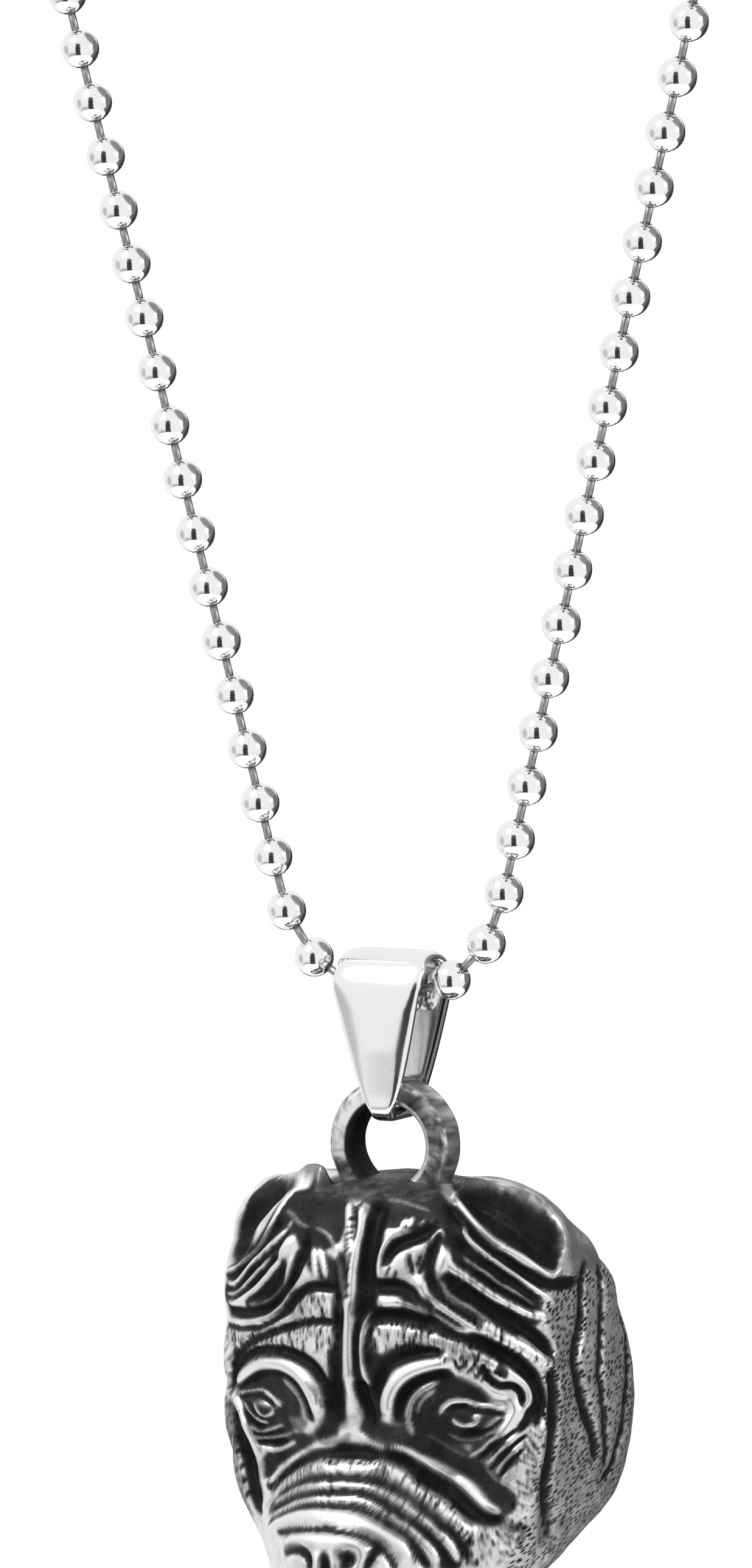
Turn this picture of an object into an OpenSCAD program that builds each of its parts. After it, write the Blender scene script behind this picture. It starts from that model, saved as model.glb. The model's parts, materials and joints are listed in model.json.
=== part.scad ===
// A wrinkled dog's head pendant on a ball chain, hanging as it is worn.
// Front is -Y and up is +Z. The origin is the nape, where the chain's connector lies on the neck.

/* [Chain] */
// Number of beads in the whole loop
bead_count = 176; // [120:2:220]
// Distance along the chain from one bead to the next
bead_pitch = 3.4; // [3.3:0.01:3.8]
// Diameter of a bead
bead_d = 2.4; // [2.3:0.05:2.5]
// Wall of a hollow bead
bead_wall = 0.25; // [0.2:0.05:0.35]
// Diameter of the wire between two beads
link_d = 0.5; // [0.4:0.05:0.55]
// Lean of each strand from upright where it leaves the bail
strand_lean = 14.2; // [12:0.1:20]
// Radius of the chain's turn inside the bail
turn_r = 7.8; // [6.5:0.1:8]
// Distance from the lowest point of the chain to the first bead on its right
bead_phase = 0.82; // [0:0.01:3.4]

/* [Connector] */
// Bore of the sleeve that holds the two end beads
sleeve_bore_d = 2.8; // [2.7:0.05:3]
// Wall of the sleeve
sleeve_wall = 0.35; // [0.3:0.05:0.5]

/* [Bail] */
// Width of the bail at its top
bail_w = 6; // [5:0.1:6.2]
// Width of its tongue inside the ring
tongue_w = 1.6; // [1.4:0.1:1.8]
// Thickness of the bail's strip
bail_t = 0.75; // [0.6:0.05:0.8]
// Inner radius of its round top
bail_arch_r = 1.8; // [1.75:0.05:2]
// Height of the hinge line over the chain's lowest point
hinge_rise = 0.35; // [0.2:0.05:0.5]
// Height of the hinge line over the ring's centre
bail_reach = 9.4; // [9:0.05:10.5]

/* [Ring] */
// Diameter of the hole in the ring
ring_hole_d = 5; // [4.9:0.05:5.4]
// Thickness of the ring's band, measured outwards
ring_band = 1.55; // [1.2:0.05:1.8]
// Depth of the ring from front to back
ring_depth = 2.4; // [2:0.1:2.4]
// Flat cut on the ring's edges
ring_chamfer = 0.4; // [0.3:0.05:0.6]

/* [Head] */
// Depth from the widest line of the face to the forehead
dome = 6.9; // [6:0.1:7.5]
// Depth of the neck behind the widest line of the face
neck_depth = 8.8; // [8:0.1:10]
// Wall of the neck round the hollow back
back_wall = 2.2; // [1.8:0.1:3]
// Steps of the surface from the middle of the face to the rim of the neck
steps = 36; // [24:1:36]
// Narrowest fold that the casting shows, as half a width
finest_fold = 0.55; // [0.5:0.01:0.7]
// Softness of the folds, from 0 for crisp to 1 for worn
wear = 0.5; // [0:0.05:1]

/* [Hidden] */

steel = "#8c8c8c";
bright_steel = "#d9d9d9";
gap = 0.1;
eps = 0.01;

// The loop: two straight strands between a wide turn at the nape and a small one in the bail.
loop_length = bead_count * bead_pitch;
lean_rad = strand_lean * PI / 180;
cot_lean = cos(strand_lean) / sin(strand_lean);
nape_r = (loop_length + 2 * turn_r * cot_lean - turn_r * (PI - 2 * lean_rad))
    / (2 * cot_lean + PI + 2 * lean_rad);
centre_drop = (nape_r - turn_r) / sin(strand_lean);
strand_length = centre_drop * cos(strand_lean);
turn_length = turn_r * (PI / 2 - lean_rad);
sleeve_r = sleeve_bore_d / 2 + sleeve_wall;
nape_z = sleeve_r;
low_z = nape_z - nape_r - centre_drop - turn_r;
turn_z = low_z + turn_r;
arc_z = nape_z - nape_r;
hinge_z = low_z + hinge_rise;
ring_z = hinge_z - bail_reach;

// A point of the chain's centre line, by the length s from its lowest point. Negative lengths are on the left.
function on_right(s) =
    s <= turn_length ? let (a = s / turn_r * 180 / PI)
        [turn_r * sin(a), 0, turn_z - turn_r * cos(a)]
    : s <= turn_length + strand_length ? let (along = s - turn_length)
        [turn_r * cos(strand_lean) + along * sin(strand_lean), 0,
         turn_z - turn_r * sin(strand_lean) + along * cos(strand_lean)]
    : let (a = (s - turn_length - strand_length) / nape_r * 180 / PI - strand_lean)
        [nape_r * cos(a), 0, arc_z + nape_r * sin(a)];
function on_chain(s) = s >= 0 ? on_right(s) : let (p = on_right(-s)) [-p[0], 0, p[2]];
function bead_place(k) =
    let (s = bead_phase + k * bead_pitch)
    on_chain(s > loop_length / 2 ? s - loop_length : s);
last_bead = bead_count / 2 - 1;
first_bead = last_bead + 1;

// The angle of the direction from p to q in the plane of the loop, from +X up.
function heading(p, q) = atan2(q[2] - p[2], q[0] - p[0]);

// The head's outline, seen from the front and measured from the middle of the face, for one half.
// Columns: angle from level, reach of the face, reach of the neck's back rim, squareness of the dome.
outline = [
    [-90, 15.6, 12.7, 2.6],
    [-70, 15.3, 12.7, 2.5],
    [-53, 14.2, 12.0, 2.4],
    [-36, 12.6, 12.3, 2.4],
    [-20, 11.7, 12.0, 2.4],
    [0, 11.3, 11.7, 2.3],
    [13, 11.5, 11.5, 2.2],
    [27, 12.6, 11.3, 2.1],
    [39, 14.0, 11.3, 2.0],
    [50, 14.4, 11.3, 2.1],
    [62, 13.9, 11.0, 2.5],
    [75, 12.7, 10.5, 3.0],
    [90, 12.6, 10.2, 3.4]
];
middle_z = -14.5;
edge_y = 0.6;
rim_y = edge_y + neck_depth;
face_share = 0.78;

// The large forms on the dome. Columns: height towards the front, distance from the middle line,
// height on the head, half width, half height, sharpness.
forms = [
    [3.4, 0, -27.0, 8.8, 9.0, 1.0],
    [2.1, 0, -25.4, 5.0, 4.4, 1.2],
    [-1.3, 4.9, -15.7, 5.4, 3.6, 1.3],
    [-1.3, 5.6, -19.0, 4.6, 3.0, 1.6],
    [0.9, 5.2, -11.4, 5.6, 2.6, 1.5],
    [1.3, 0, -24.6, 3.9, 1.9, 0.6],
    [1.0, 4.7, -26.6, 3.4, 3.0, 1.0],
    [-1.0, 0, -28.3, 4.8, 1.0, 1.2],
    [0.7, 7.5, -16.0, 1.6, 0.9, 1.0]
];

// The folds of the face, as lines on it. Columns: side (1 right, -1 left, 0 both), half width,
// height (negative where the fold is cut in), then the places [distance from the middle, height].
folds = [
    // Ear: its lower rim, its upper rim with the raised tip, and the hollow between them
    [0, 0.60, 0.60, [4.2, -2.4], [6.0, -3.1], [7.2, -4.4], [8.5, -5.7], [9.8, -6.7], [11.2, -7.5]],
    [0, 1.00, 1.15, [4.2, -2.3], [6.2, -2.2], [8.3, -2.9], [10.2, -4.4], [11.2, -6.2], [11.3, -7.5]],
    [0, 1.30, -1.40, [6.4, -3.0], [8.2, -4.0], [9.9, -5.6]],
    // Folds that run down from the ear
    [0, 0.58, -0.60, [5.0, -4.6], [6.6, -5.4], [8.0, -6.6], [9.4, -7.7], [11.1, -8.4]],
    [0, 0.55, 0.25, [5.0, -5.6], [6.6, -6.4], [8.2, -7.6], [9.7, -8.6], [11.1, -9.3]],
    [0, 0.55, -0.55, [5.6, -6.7], [7.0, -7.6], [8.6, -8.8], [11.0, -9.9]],
    [-1, 0.58, -0.65, [3.3, -5.7], [3.8, -7.2], [5.0, -9.2], [6.6, -10.0], [9.0, -10.8], [11.0, -11.5]],
    [1, 0.60, -0.70, [4.9, -7.4], [6.5, -8.5], [8.0, -9.6], [9.6, -10.5], [11.0, -11.8]],
    // Forehead
    [1, 0.60, -0.80, [1.25, -3.7], [1.35, -6.4], [1.25, -9.0], [0.95, -11.0], [0.9, -13.4], [1.2, -16.2]],
    [-1, 0.58, -0.70, [1.0, -5.6], [0.95, -9.0], [0.9, -12.0], [0.9, -14.5], [1.2, -16.2]],
    [1, 0.58, -0.60, [4.9, -4.5], [3.7, -5.4], [2.4, -6.3]],
    [1, 0.58, -0.60, [1.6, -8.1], [3.2, -8.1], [4.8, -8.5]],
    [-1, 0.56, -0.55, [1.0, -8.4], [2.6, -8.4], [4.2, -9.4]],
    [1, 0.60, -0.75, [1.8, -10.0], [4.0, -10.1], [6.0, -10.6], [8.0, -11.5], [9.8, -12.6], [10.7, -14.2]],
    [-1, 0.58, -0.65, [1.0, -10.6], [4.2, -10.8], [6.0, -11.4], [8.4, -12.5], [9.9, -14.0]],
    // Eyes: the dark line over the brow, the thick brow and the line inside it
    [1, 0.56, -0.55, [1.9, -15.6], [2.3, -13.4], [3.7, -12.2], [6.0, -12.0], [7.4, -12.4]],
    [-1, 0.56, -0.55, [10.0, -14.7], [8.4, -13.2], [6.6, -12.4], [4.4, -12.3], [2.5, -13.0], [1.8, -15.4]],
    [0, 0.70, 0.75, [2.7, -16.2], [2.9, -14.7], [3.9, -13.5], [5.4, -13.0], [7.2, -13.1], [8.8, -13.9], [10.0, -15.2]],
    [0, 0.60, -0.60, [8.8, -14.7], [6.9, -14.2], [5.1, -14.4], [4.0, -15.3], [3.7, -16.6]],
    [0, 0.55, 0.40, [9.3, -15.3], [7.5, -15.0], [6.2, -15.1], [5.2, -15.9]],
    [0, 0.55, -0.45, [9.0, -16.8], [7.6, -17.4], [6.2, -17.4], [4.8, -17.0]],
    [0, 0.62, 0.50, [10.0, -15.2], [9.6, -16.8], [8.8, -18.6], [8.2, -20.4]],
    // Muzzle: five rolls and the lines between them
    [0, 0.62, 0.75, [0.1, -17.3], [1.8, -17.8], [3.8, -18.4], [5.5, -19.5], [7.0, -20.6], [8.4, -22.0]],
    [0, 0.70, -1.05, [0, -18.35], [2.4, -18.5], [4.2, -19.2], [5.9, -20.5], [7.2, -21.8], [8.2, -23.4]],
    [0, 0.68, -1.00, [0, -19.85], [2.0, -19.95], [3.7, -20.7], [5.3, -21.8], [6.4, -23.1], [7.1, -24.8]],
    [0, 0.66, -0.95, [0, -21.4], [2.0, -21.55], [3.6, -22.3], [4.9, -23.4], [5.9, -25.0]],
    [0, 0.62, -0.85, [0, -22.8], [1.9, -22.9], [3.4, -23.4], [4.4, -24.4], [4.8, -25.6]],
    // Nose and mouth
    [0, 0.58, -0.70, [1.3, -24.5], [2.0, -24.2], [2.8, -24.4]],
    [0, 0.55, -0.55, [0, -25.6], [0, -27.2]],
    [0, 0.60, -0.80, [0, -27.5], [2.4, -28.2], [4.8, -28.4], [6.9, -27.5]],
    // Cheek: the groove behind the jowl
    [0, 0.60, -0.75, [10.5, -15.6], [10.3, -18.0], [9.8, -20.2], [9.2, -22.6]]
];

// The folds round the neck, as upright lines. Columns: depth behind the face's widest line, half width, height.
neck_folds = [
    [2.0, 0.9, -0.45],
    [5.0, 0.9, -0.40],
    [7.9, 0.8, -0.45]
];
neck_low = -62;
neck_high = 36;

function mix(a, b, t) = a + (b - a) * t;
function clamp(t) = max(0, min(1, t));
function smooth(t) = t * t * (3 - 2 * t);
function row_at(a, i = 0) = i >= len(outline) - 2 || a < outline[i + 1][0] ? i : row_at(a, i + 1);
function slope_at(i, col) =
    let (lo = max(0, i - 1), hi = min(len(outline) - 1, i + 1))
    (outline[hi][col] - outline[lo][col]) / (outline[hi][0] - outline[lo][0]);
// A column of the outline at an angle, on a smooth curve through its rows.
function outline_at(a, col) =
    let (
        i = row_at(a),
        span = outline[i + 1][0] - outline[i][0],
        t = (a - outline[i][0]) / span,
        ends = smooth(t)
    )
    mix(outline[i][col], outline[i + 1][col], ends)
    + span * t * (1 - t) * ((1 - t) * slope_at(i, col) - t * slope_at(i + 1, col));

function form_height(x, z, f) =
    let (m = 1 - pow((abs(x) - f[1]) / f[3], 2) - pow((z - f[2]) / f[4], 2))
    m <= 0 ? 0 : f[0] * pow(m, f[5]);
// The plain face in front of its widest line, by a share of the reach and the place on the head.
function face_y(share, squareness, x, z) =
    edge_y - dome * pow(1 - pow(clamp(share), squareness), 1 / squareness)
    - [for (f = forms) form_height(x, z, f)] * [for (f = forms) 1];
function on_face(x, z) =
    let (a = atan2(z - middle_z, abs(x)))
    [x, face_y(norm([x, z - middle_z]) / outline_at(a, 1), outline_at(a, 3), x, z), z];

// A fold as a smooth line on the face: a curve through its places, lifted to the dome.
function through(p, i, t) =
    let (
        a = p[max(0, i - 1)], b = p[i], c = p[i + 1], d = p[min(len(p) - 1, i + 2)],
        u = t * t, w = u * t
    )
    0.5 * (2 * b + (c - a) * t + (2 * a - 5 * b + 4 * c - d) * u + (3 * b - a - 3 * c + d) * w);
curve_steps = 3;
function fold_line(places, side) = [
    for (i = [0 : len(places) - 2], k = [0 : curve_steps - 1])
        let (q = through(places, i, k / curve_steps)) on_face(side * q[0], q[1]),
    on_face(side * places[len(places) - 1][0], places[len(places) - 1][1])
];
function places_of(f) = [for (i = [3 : len(f) - 1]) f[i]];
function lined(f, side) =
    let (line = fold_line(places_of(f), side), w = max(f[1], finest_fold))
    [w, f[2], line,
     min([for (p = line) p[0]]) - w, max([for (p = line) p[0]]) + w,
     min([for (p = line) p[2]]) - w, max([for (p = line) p[2]]) + w];

function to_segment(p, a, b) =
    let (ab = b - a, t = clamp((p - a) * ab / (ab * ab)))
    norm(p - a - t * ab);
function fold_height(p, f) =
    let (d = min([for (i = [0 : len(f[2]) - 2]) to_segment(p, f[2][i], f[2][i + 1])]) / f[0])
    d >= 1 ? 0 : f[1] * pow(1 - d * d, 2);
function meets(p, f) = p[0] > f[3] && p[0] < f[4] && p[2] > f[5] && p[2] < f[6];
function face_folds(p, lines) =
    let (heights = [for (f = lines) if (meets(p, f)) fold_height(p, f)])
    len(heights) == 0 ? 0 : max(0, max(heights)) + min(0, min(heights));
function neck_fold_height(p, angle) =
    let (
        fade = clamp((angle - neck_low) / 8) * clamp((neck_high - angle) / 8),
        depths = [for (f = neck_folds) let (d = abs(p[1] - edge_y - f[0]) / f[1])
            d >= 1 ? 0 : f[2] * pow(1 - d * d, 2)]
    )
    fade * min(depths);

// A place on the plain head. q runs from 0 in the middle of the face to 1 on the rim of the neck.
function head_point(angle, q) =
    let (
        up = sin(angle), out = cos(angle),
        folded = atan2(up, abs(out)),
        reach = outline_at(folded, 1),
        t = clamp(q / face_share),
        share = mix(t, sin(90 * t), 0.5),
        x = share * reach * out,
        z = middle_z + share * reach * up,
        y = face_y(share, outline_at(folded, 3), x, z),
        w = clamp((q - face_share) / (1 - face_share)),
        neck_reach = mix(reach, outline_at(folded, 2), smooth(w)) + 0.5 * sin(180 * w)
            - 0.5 * pow(max(0, (w - 0.8) / 0.2), 2)
    )
    q <= face_share ? [x, y, z] : [neck_reach * out, mix(y, rim_y, w), middle_z + neck_reach * up];
// A square grid folded onto the round head, so that its cells stay nearly square.
function grid_angle(s, t) =
    s == 0 && t == 0 ? 0
    : abs(s) >= abs(t) ? (s > 0 ? 45 * t / s : 180 + 45 * t / s)
    : t > 0 ? 90 - 45 * s / t : -90 - 45 * s / t;

module cast_face() {
    side = 2 * steps + 1;
    lines = [for (f = folds, s = [-1, 1]) if (f[0] == 0 || f[0] == s) lined(f, s)];
    plain = [for (j = [-steps : steps]) [for (i = [-steps : steps])
        head_point(grid_angle(i, j), max(abs(i), abs(j)) / steps)]];
    function on_edge(i, j) = i == 0 || j == 0 || i == side - 1 || j == side - 1;
    heights = [for (j = [0 : side - 1]) [for (i = [0 : side - 1])
        let (
            p = plain[j][i],
            in_face = max(abs(i - steps), abs(j - steps)) <= face_share * steps,
            angle = atan2(p[2] - middle_z, abs(p[0]))
        )
        on_edge(i, j) ? 0 : (in_face ? face_folds(p, lines) : 0) + neck_fold_height(p, angle)]];
    // The worn softness of a casting: each height is drawn towards those beside it.
    softened = [for (j = [0 : side - 1]) [for (i = [0 : side - 1])
        on_edge(i, j) ? 0
        : mix(heights[j][i], (heights[j][i - 1] + heights[j][i + 1] + heights[j - 1][i] + heights[j + 1][i]) / 4, wear)]];
    points = [for (j = [0 : side - 1], i = [0 : side - 1])
        let (
            n = on_edge(i, j) ? [0, 1, 0]
                : cross(plain[j][i + 1] - plain[j][i - 1], plain[j + 1][i] - plain[j - 1][i])
        )
        plain[j][i] + n / norm(n) * softened[j][i]];
    function at(i, j) = j * side + i;
    // Each cell is split along the fold that crosses it, between its two corners nearest in height.
    function along_fold(i, j) =
        abs(softened[j][i] - softened[j + 1][i + 1]) <= abs(softened[j][i + 1] - softened[j + 1][i]);
    skin = [for (j = [0 : side - 2], i = [0 : side - 2])
        each along_fold(i, j)
            ? [[at(i, j), at(i, j + 1), at(i + 1, j + 1)], [at(i, j), at(i + 1, j + 1), at(i + 1, j)]]
            : [[at(i, j), at(i, j + 1), at(i + 1, j)], [at(i + 1, j), at(i, j + 1), at(i + 1, j + 1)]]];
    rim = [
        for (i = [0 : side - 2]) at(i, 0),
        for (j = [0 : side - 2]) at(side - 1, j),
        for (i = [side - 1 : -1 : 1]) at(i, side - 1),
        for (j = [side - 1 : -1 : 1]) at(0, j)
    ];
    polyhedron(points, concat(skin, [rim]), convexity = 8);
}

// The open hollow in the back: the outline of the neck less its wall, cut from behind in two steps.
function back_outline(wall) = [for (a = [-180 : 15 : 165])
    let (reach = outline_at(atan2(sin(a), abs(cos(a))), 2) - wall) [reach * cos(a), reach * sin(a)]];
module hollow(wall, floor_y) {
    translate([0, rim_y + 1, middle_z])
        rotate([90, 0, 0])
            linear_extrude(height = rim_y + 1 - floor_y)
                polygon(back_outline(wall));
}

module cast_ring() {
    inner = ring_hole_d / 2;
    outer = inner + ring_band;
    half = ring_depth / 2;
    c = ring_chamfer;
    rotate([90, 0, 0])
        rotate_extrude($fn = 96)
            polygon([
                [inner, -half + c], [inner + c, -half], [outer - c, -half], [outer, -half + c],
                [outer, half - c], [outer - c, half], [inner + c, half], [inner, half - c]
            ]);
}

// One casting: the face, the neck with its hollow back, and the ring on the crown.
module head() {
    color(steel)
        translate([0, 0, ring_z]) {
            difference() {
                cast_face();
                hollow(back_wall, 1.0);
                hollow(back_wall + 3, -2.0);
            }
            cast_ring();
        }
}

// The bail's side: a round top, two legs and a narrow bend that passes through the ring.
module bail_side(inset) {
    r = bail_arch_r + bail_t - inset;
    foot_half = ring_depth / 2 + 0.2 + bail_t - inset;
    foot_low = sqrt(pow(ring_hole_d / 2 - 0.12, 2) - pow(tongue_w / 2, 2)) - bail_t + inset;
    corner = 1.1 - inset;
    circle(r = r, $fn = 64);
    for (s = [-1, 1])
        translate([s * (foot_half - corner), foot_low + corner - bail_reach])
            circle(r = corner, $fn = 48);
    polygon([
        [-r, 0], [-foot_half, foot_low + corner - bail_reach], [foot_half, foot_low + corner - bail_reach], [r, 0]
    ]);
    translate([-foot_half + corner, foot_low - bail_reach])
        square([2 * (foot_half - corner), corner + eps]);
}
// Half the bail's width at a height over the ring's centre.
function bail_half(z) =
    mix(tongue_w, bail_w, pow(clamp((z - 2.3) / 7.6), 0.75)) / 2;
bail_heights = [2.3, 2.6, 3.0, 3.6, 4.4, 5.4, 6.6, 8.0, 9.9];
module bail() {
    low = -1;
    high = bail_reach + bail_arch_r + bail_t + 1;
    color(bright_steel)
        translate([0, 0, ring_z])
            intersection() {
                translate([bail_w, 0, bail_reach])
                    rotate([0, -90, 0])
                        rotate([0, 0, 90])
                            rotate([180, 0, 0])
                                translate([0, 0, -2 * bail_w])
                                    linear_extrude(height = 2 * bail_w)
                                        difference() {
                                            bail_side(0);
                                            bail_side(bail_t);
                                        }
                translate([0, 5, 0])
                    rotate([90, 0, 0])
                        linear_extrude(height = 10)
                            polygon(concat(
                                [[tongue_w / 2, low], for (z = bail_heights) [bail_half(z), z], [bail_w / 2, high]],
                                [[-bail_w / 2, high], for (i = [len(bail_heights) - 1 : -1 : 0])
                                    [-bail_half(bail_heights[i]), bail_heights[i]], [-tongue_w / 2, low]]
                            ));
            }
}

// A hollow bead, open towards the bead before it, with the wire that reaches into the next one.
module chain_bead(place, back, forward, has_wire) {
    hole_r = link_d / 2 + 0.17;
    knob_r = 0.58;
    r = bead_d / 2;
    translate(place) {
        difference() {
            sphere(r = r, $fn = 20);
            sphere(r = r - bead_wall, $fn = 16);
            rotate([0, 90 - back, 0])
                cylinder(r = hole_r, h = r + 1, $fn = 16);
        }
        if (has_wire)
            rotate([0, 90 - forward, 0]) {
                translate([0, 0, r - bead_wall / 2])
                    cylinder(d = link_d, h = bead_pitch - 2 * r + bead_wall / 2 + 0.7, $fn = 16);
                translate([0, 0, bead_pitch - r + bead_wall + gap + knob_r])
                    sphere(r = knob_r, $fn = 16);
            }
    }
}
module ball_chain() {
    color(bright_steel)
        for (k = [0 : bead_count - 1]) {
            here = bead_place(k);
            chain_bead(here, heading(here, bead_place(k - 1)), heading(here, bead_place(k + 1)), k != last_bead);
        }
}

// A plain sleeve over the two end beads, closed round the wire at both ends.
module connector() {
    a = bead_place(last_bead);
    b = bead_place(first_bead);
    half = bead_pitch / 2 + bead_d / 2 + gap + 0.05;
    color(bright_steel)
        translate((a + b) / 2)
            rotate([0, 90 - heading(b, a), 0])
                difference() {
                    cylinder(r = sleeve_r, h = 2 * (half + sleeve_wall), center = true, $fn = 32);
                    cylinder(d = sleeve_bore_d, h = 2 * half, center = true, $fn = 32);
                    cylinder(d = link_d + 0.5, h = 4 * half, center = true, $fn = 24);
                }
}

head();
bail();
ball_chain();
connector();
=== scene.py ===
# %% [markdown]
# # A dog pendant on a ball chain
#
# A cast steel dog's head hangs from a pinched bail on a loop of ball chain.
# The solids come packed from CAD, and this lesson dresses them: the head gets its fine folds and hair,
# the chain gets smooth beads, and the bail and the ring get their rounded edges.
# Lengths are written in millimetres, as a jeweller would, and turned into Blender's metres at the end.

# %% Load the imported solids
import json
import math

import bmesh
import bpy
import numpy as np
from mathutils import Matrix, Vector, noise


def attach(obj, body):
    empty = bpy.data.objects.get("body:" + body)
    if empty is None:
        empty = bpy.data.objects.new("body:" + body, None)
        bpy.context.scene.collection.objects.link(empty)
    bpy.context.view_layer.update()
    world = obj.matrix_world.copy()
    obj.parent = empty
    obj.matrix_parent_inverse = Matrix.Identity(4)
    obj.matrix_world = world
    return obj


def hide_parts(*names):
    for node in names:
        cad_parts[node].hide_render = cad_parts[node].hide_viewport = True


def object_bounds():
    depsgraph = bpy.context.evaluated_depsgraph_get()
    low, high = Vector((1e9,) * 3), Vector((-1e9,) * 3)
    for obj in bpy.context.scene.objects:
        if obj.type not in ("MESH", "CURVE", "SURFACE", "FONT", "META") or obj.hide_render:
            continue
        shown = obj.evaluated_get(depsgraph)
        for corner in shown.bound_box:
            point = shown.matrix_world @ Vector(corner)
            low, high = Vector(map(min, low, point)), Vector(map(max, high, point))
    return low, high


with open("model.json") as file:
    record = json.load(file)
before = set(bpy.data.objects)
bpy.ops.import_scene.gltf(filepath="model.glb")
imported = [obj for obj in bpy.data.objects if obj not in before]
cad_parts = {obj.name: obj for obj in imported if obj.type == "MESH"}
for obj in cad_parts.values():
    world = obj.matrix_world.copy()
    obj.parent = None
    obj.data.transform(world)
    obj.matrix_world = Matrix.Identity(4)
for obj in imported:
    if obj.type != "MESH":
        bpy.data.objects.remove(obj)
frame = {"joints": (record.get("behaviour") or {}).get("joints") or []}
cad_low, cad_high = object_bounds()
MM = 0.001
joints = {joint["name"]: joint for joint in frame["joints"]}
RING = Vector(joints["head_swing"]["pos_m"]) / MM
HINGE = Vector(joints["bail_swing"]["pos_m"]) / MM

# %% [markdown]
# ## The camera
#
# The camera comes first, because the relief is drawn from where it stands.
# The object is turned a little, so that the camera sees the dog's left cheek, and it looks slightly down.
# One bead measures 2.4 mm, which sets the picture's scale at 26.9 pixels to a millimetre.
# A long lens far away keeps the head from bulging, as a product photographer would want.

# %% Aim the camera
PIXELS, RING_PIXEL = (1236, 2576), (650, 1878)
PIXELS_PER_MM = 26.9
TURN, TILT, ROLL = math.radians(28), math.radians(5.4), math.radians(0.95)
DISTANCE, SENSOR = 700.0, 24


def view_axes(turn, tilt, roll):
    """The picture's right and up, and the way back to the camera, for a turn, a tilt and a roll."""
    right = Vector((math.cos(turn), math.sin(turn), 0))
    up = Vector((-math.sin(turn) * math.sin(tilt), math.cos(turn) * math.sin(tilt), math.cos(tilt)))
    back = right.cross(up)
    return right * math.cos(roll) - up * math.sin(roll), right * math.sin(roll) + up * math.cos(roll), back


right, up, back = view_axes(TURN, TILT, ROLL)
ring_across, ring_down = ((RING_PIXEL[i] - PIXELS[i] / 2) / PIXELS_PER_MM for i in (0, 1))
aim = RING - right * ring_across + up * ring_down
lens = bpy.data.cameras.new("camera")
lens.sensor_fit = "VERTICAL"
lens.sensor_height = SENSOR
lens.lens = SENSOR * DISTANCE * PIXELS_PER_MM / PIXELS[1]
lens.clip_start, lens.clip_end = 0.05, 20
camera = bpy.data.objects.new("camera", lens)
turned_to = Matrix((right, up, back)).transposed().to_4x4()
camera.matrix_world = Matrix.Translation((aim + back * DISTANCE) * MM) @ turned_to
bpy.context.scene.collection.objects.link(camera)
bpy.context.scene.camera = camera
print("camera at", tuple(round(v, 3) for v in camera.matrix_world.translation), "lens", round(lens.lens, 1), "mm")

# %% [markdown]
# ## The studio
#
# Polished steel has no colour of its own. What we see on it is the room, so the room is the finish.
# A jewellery photographer uses a white tent with a few black strips, which draw the dark edges on the beads.
# Here the sky is the tent. The camera itself sees plain white, and the metal sees the strips.
# The studio and every finish are built from the same few nodes, so each kind of node gets a short helper.

# %% Floor and lights
FLOOR_RADIUS, FLOOR_DROP = 0.6, 400


def link(name, data):
    thing = bpy.data.objects.new(name, data)
    bpy.context.scene.collection.objects.link(thing)
    return thing


def new_material(name):
    material = bpy.data.materials.new(name)
    material.use_nodes = True
    tree = material.node_tree
    return material, tree, tree.nodes["Principled BSDF"]


def add_node(tree, kind, inputs=None, **settings):
    """A node of that kind with its settings and inputs. An input is a value or another node's output."""
    node = tree.nodes.new(kind)
    for key, value in settings.items():
        setattr(node, key, value)
    for key, value in (inputs or {}).items():
        if isinstance(value, bpy.types.NodeSocket):
            tree.links.new(value, node.inputs[key])
        else:
            node.inputs[key].default_value = value
    return node


def grey(value):
    return value, value, value, 1


floor_bm = bmesh.new()
bmesh.ops.create_circle(floor_bm, cap_ends=True, segments=96, radius=FLOOR_RADIUS)
bmesh.ops.translate(floor_bm, verts=floor_bm.verts, vec=(0, 0, (RING.z - FLOOR_DROP) * MM))
floor_mesh = bpy.data.meshes.new("floor")
floor_bm.to_mesh(floor_mesh)
floor_bm.free()
floor = link("floor", floor_mesh)
pale, pale_tree, pale_surface = new_material("pale floor")
grain = add_node(pale_tree, "ShaderNodeTexNoise", {"Scale": 40.0, "Detail": 3.0})
tint = add_node(pale_tree, "ShaderNodeValToRGB", {"Fac": grain.outputs["Fac"]})
tint.color_ramp.elements[0].color = grey(0.86)
tint.color_ramp.elements[1].color = grey(0.92)
pale_tree.links.new(tint.outputs["Color"], pale_surface.inputs["Base Color"])
pale_surface.inputs["Roughness"].default_value = 0.9
floor_mesh.materials.append(pale)


def towards(turn, tilt):
    """The way out from the pendant at a turn and a tilt in degrees."""
    return view_axes(math.radians(turn), math.radians(tilt), 0)[2]


def set_along(direction, place):
    """The matrix that turns a thing's Z along a direction and moves it to a place."""
    return Matrix.Translation(place) @ direction.to_track_quat("Z", "Y").to_matrix().to_4x4()


def soft_light(name, turn, tilt, distance, size, power):
    data = bpy.data.lights.new(name, "AREA")
    data.shape, data.size, data.energy = "DISK", size, power
    way = towards(turn, tilt)
    link(name, data).matrix_world = set_along(way, RING * MM + way * distance)


soft_light("key light", -30, 50, 0.7, 0.35, 5.0)
soft_light("side light", 100, 15, 0.8, 0.3, 2.0)
print("floor", FLOOR_DROP, "mm below the ring, and two soft lights")

# %% Tent
world = bpy.data.worlds.new("white tent")
bpy.context.scene.world = world
world.use_nodes = True
sky = world.node_tree
tent = sky.nodes["Background"]
sky_way = add_node(sky, "ShaderNodeTexCoord").outputs["Generated"]


def maths(tree, operation, *values):
    return add_node(tree, "ShaderNodeMath", dict(enumerate(values)), operation=operation).outputs[0]


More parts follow.
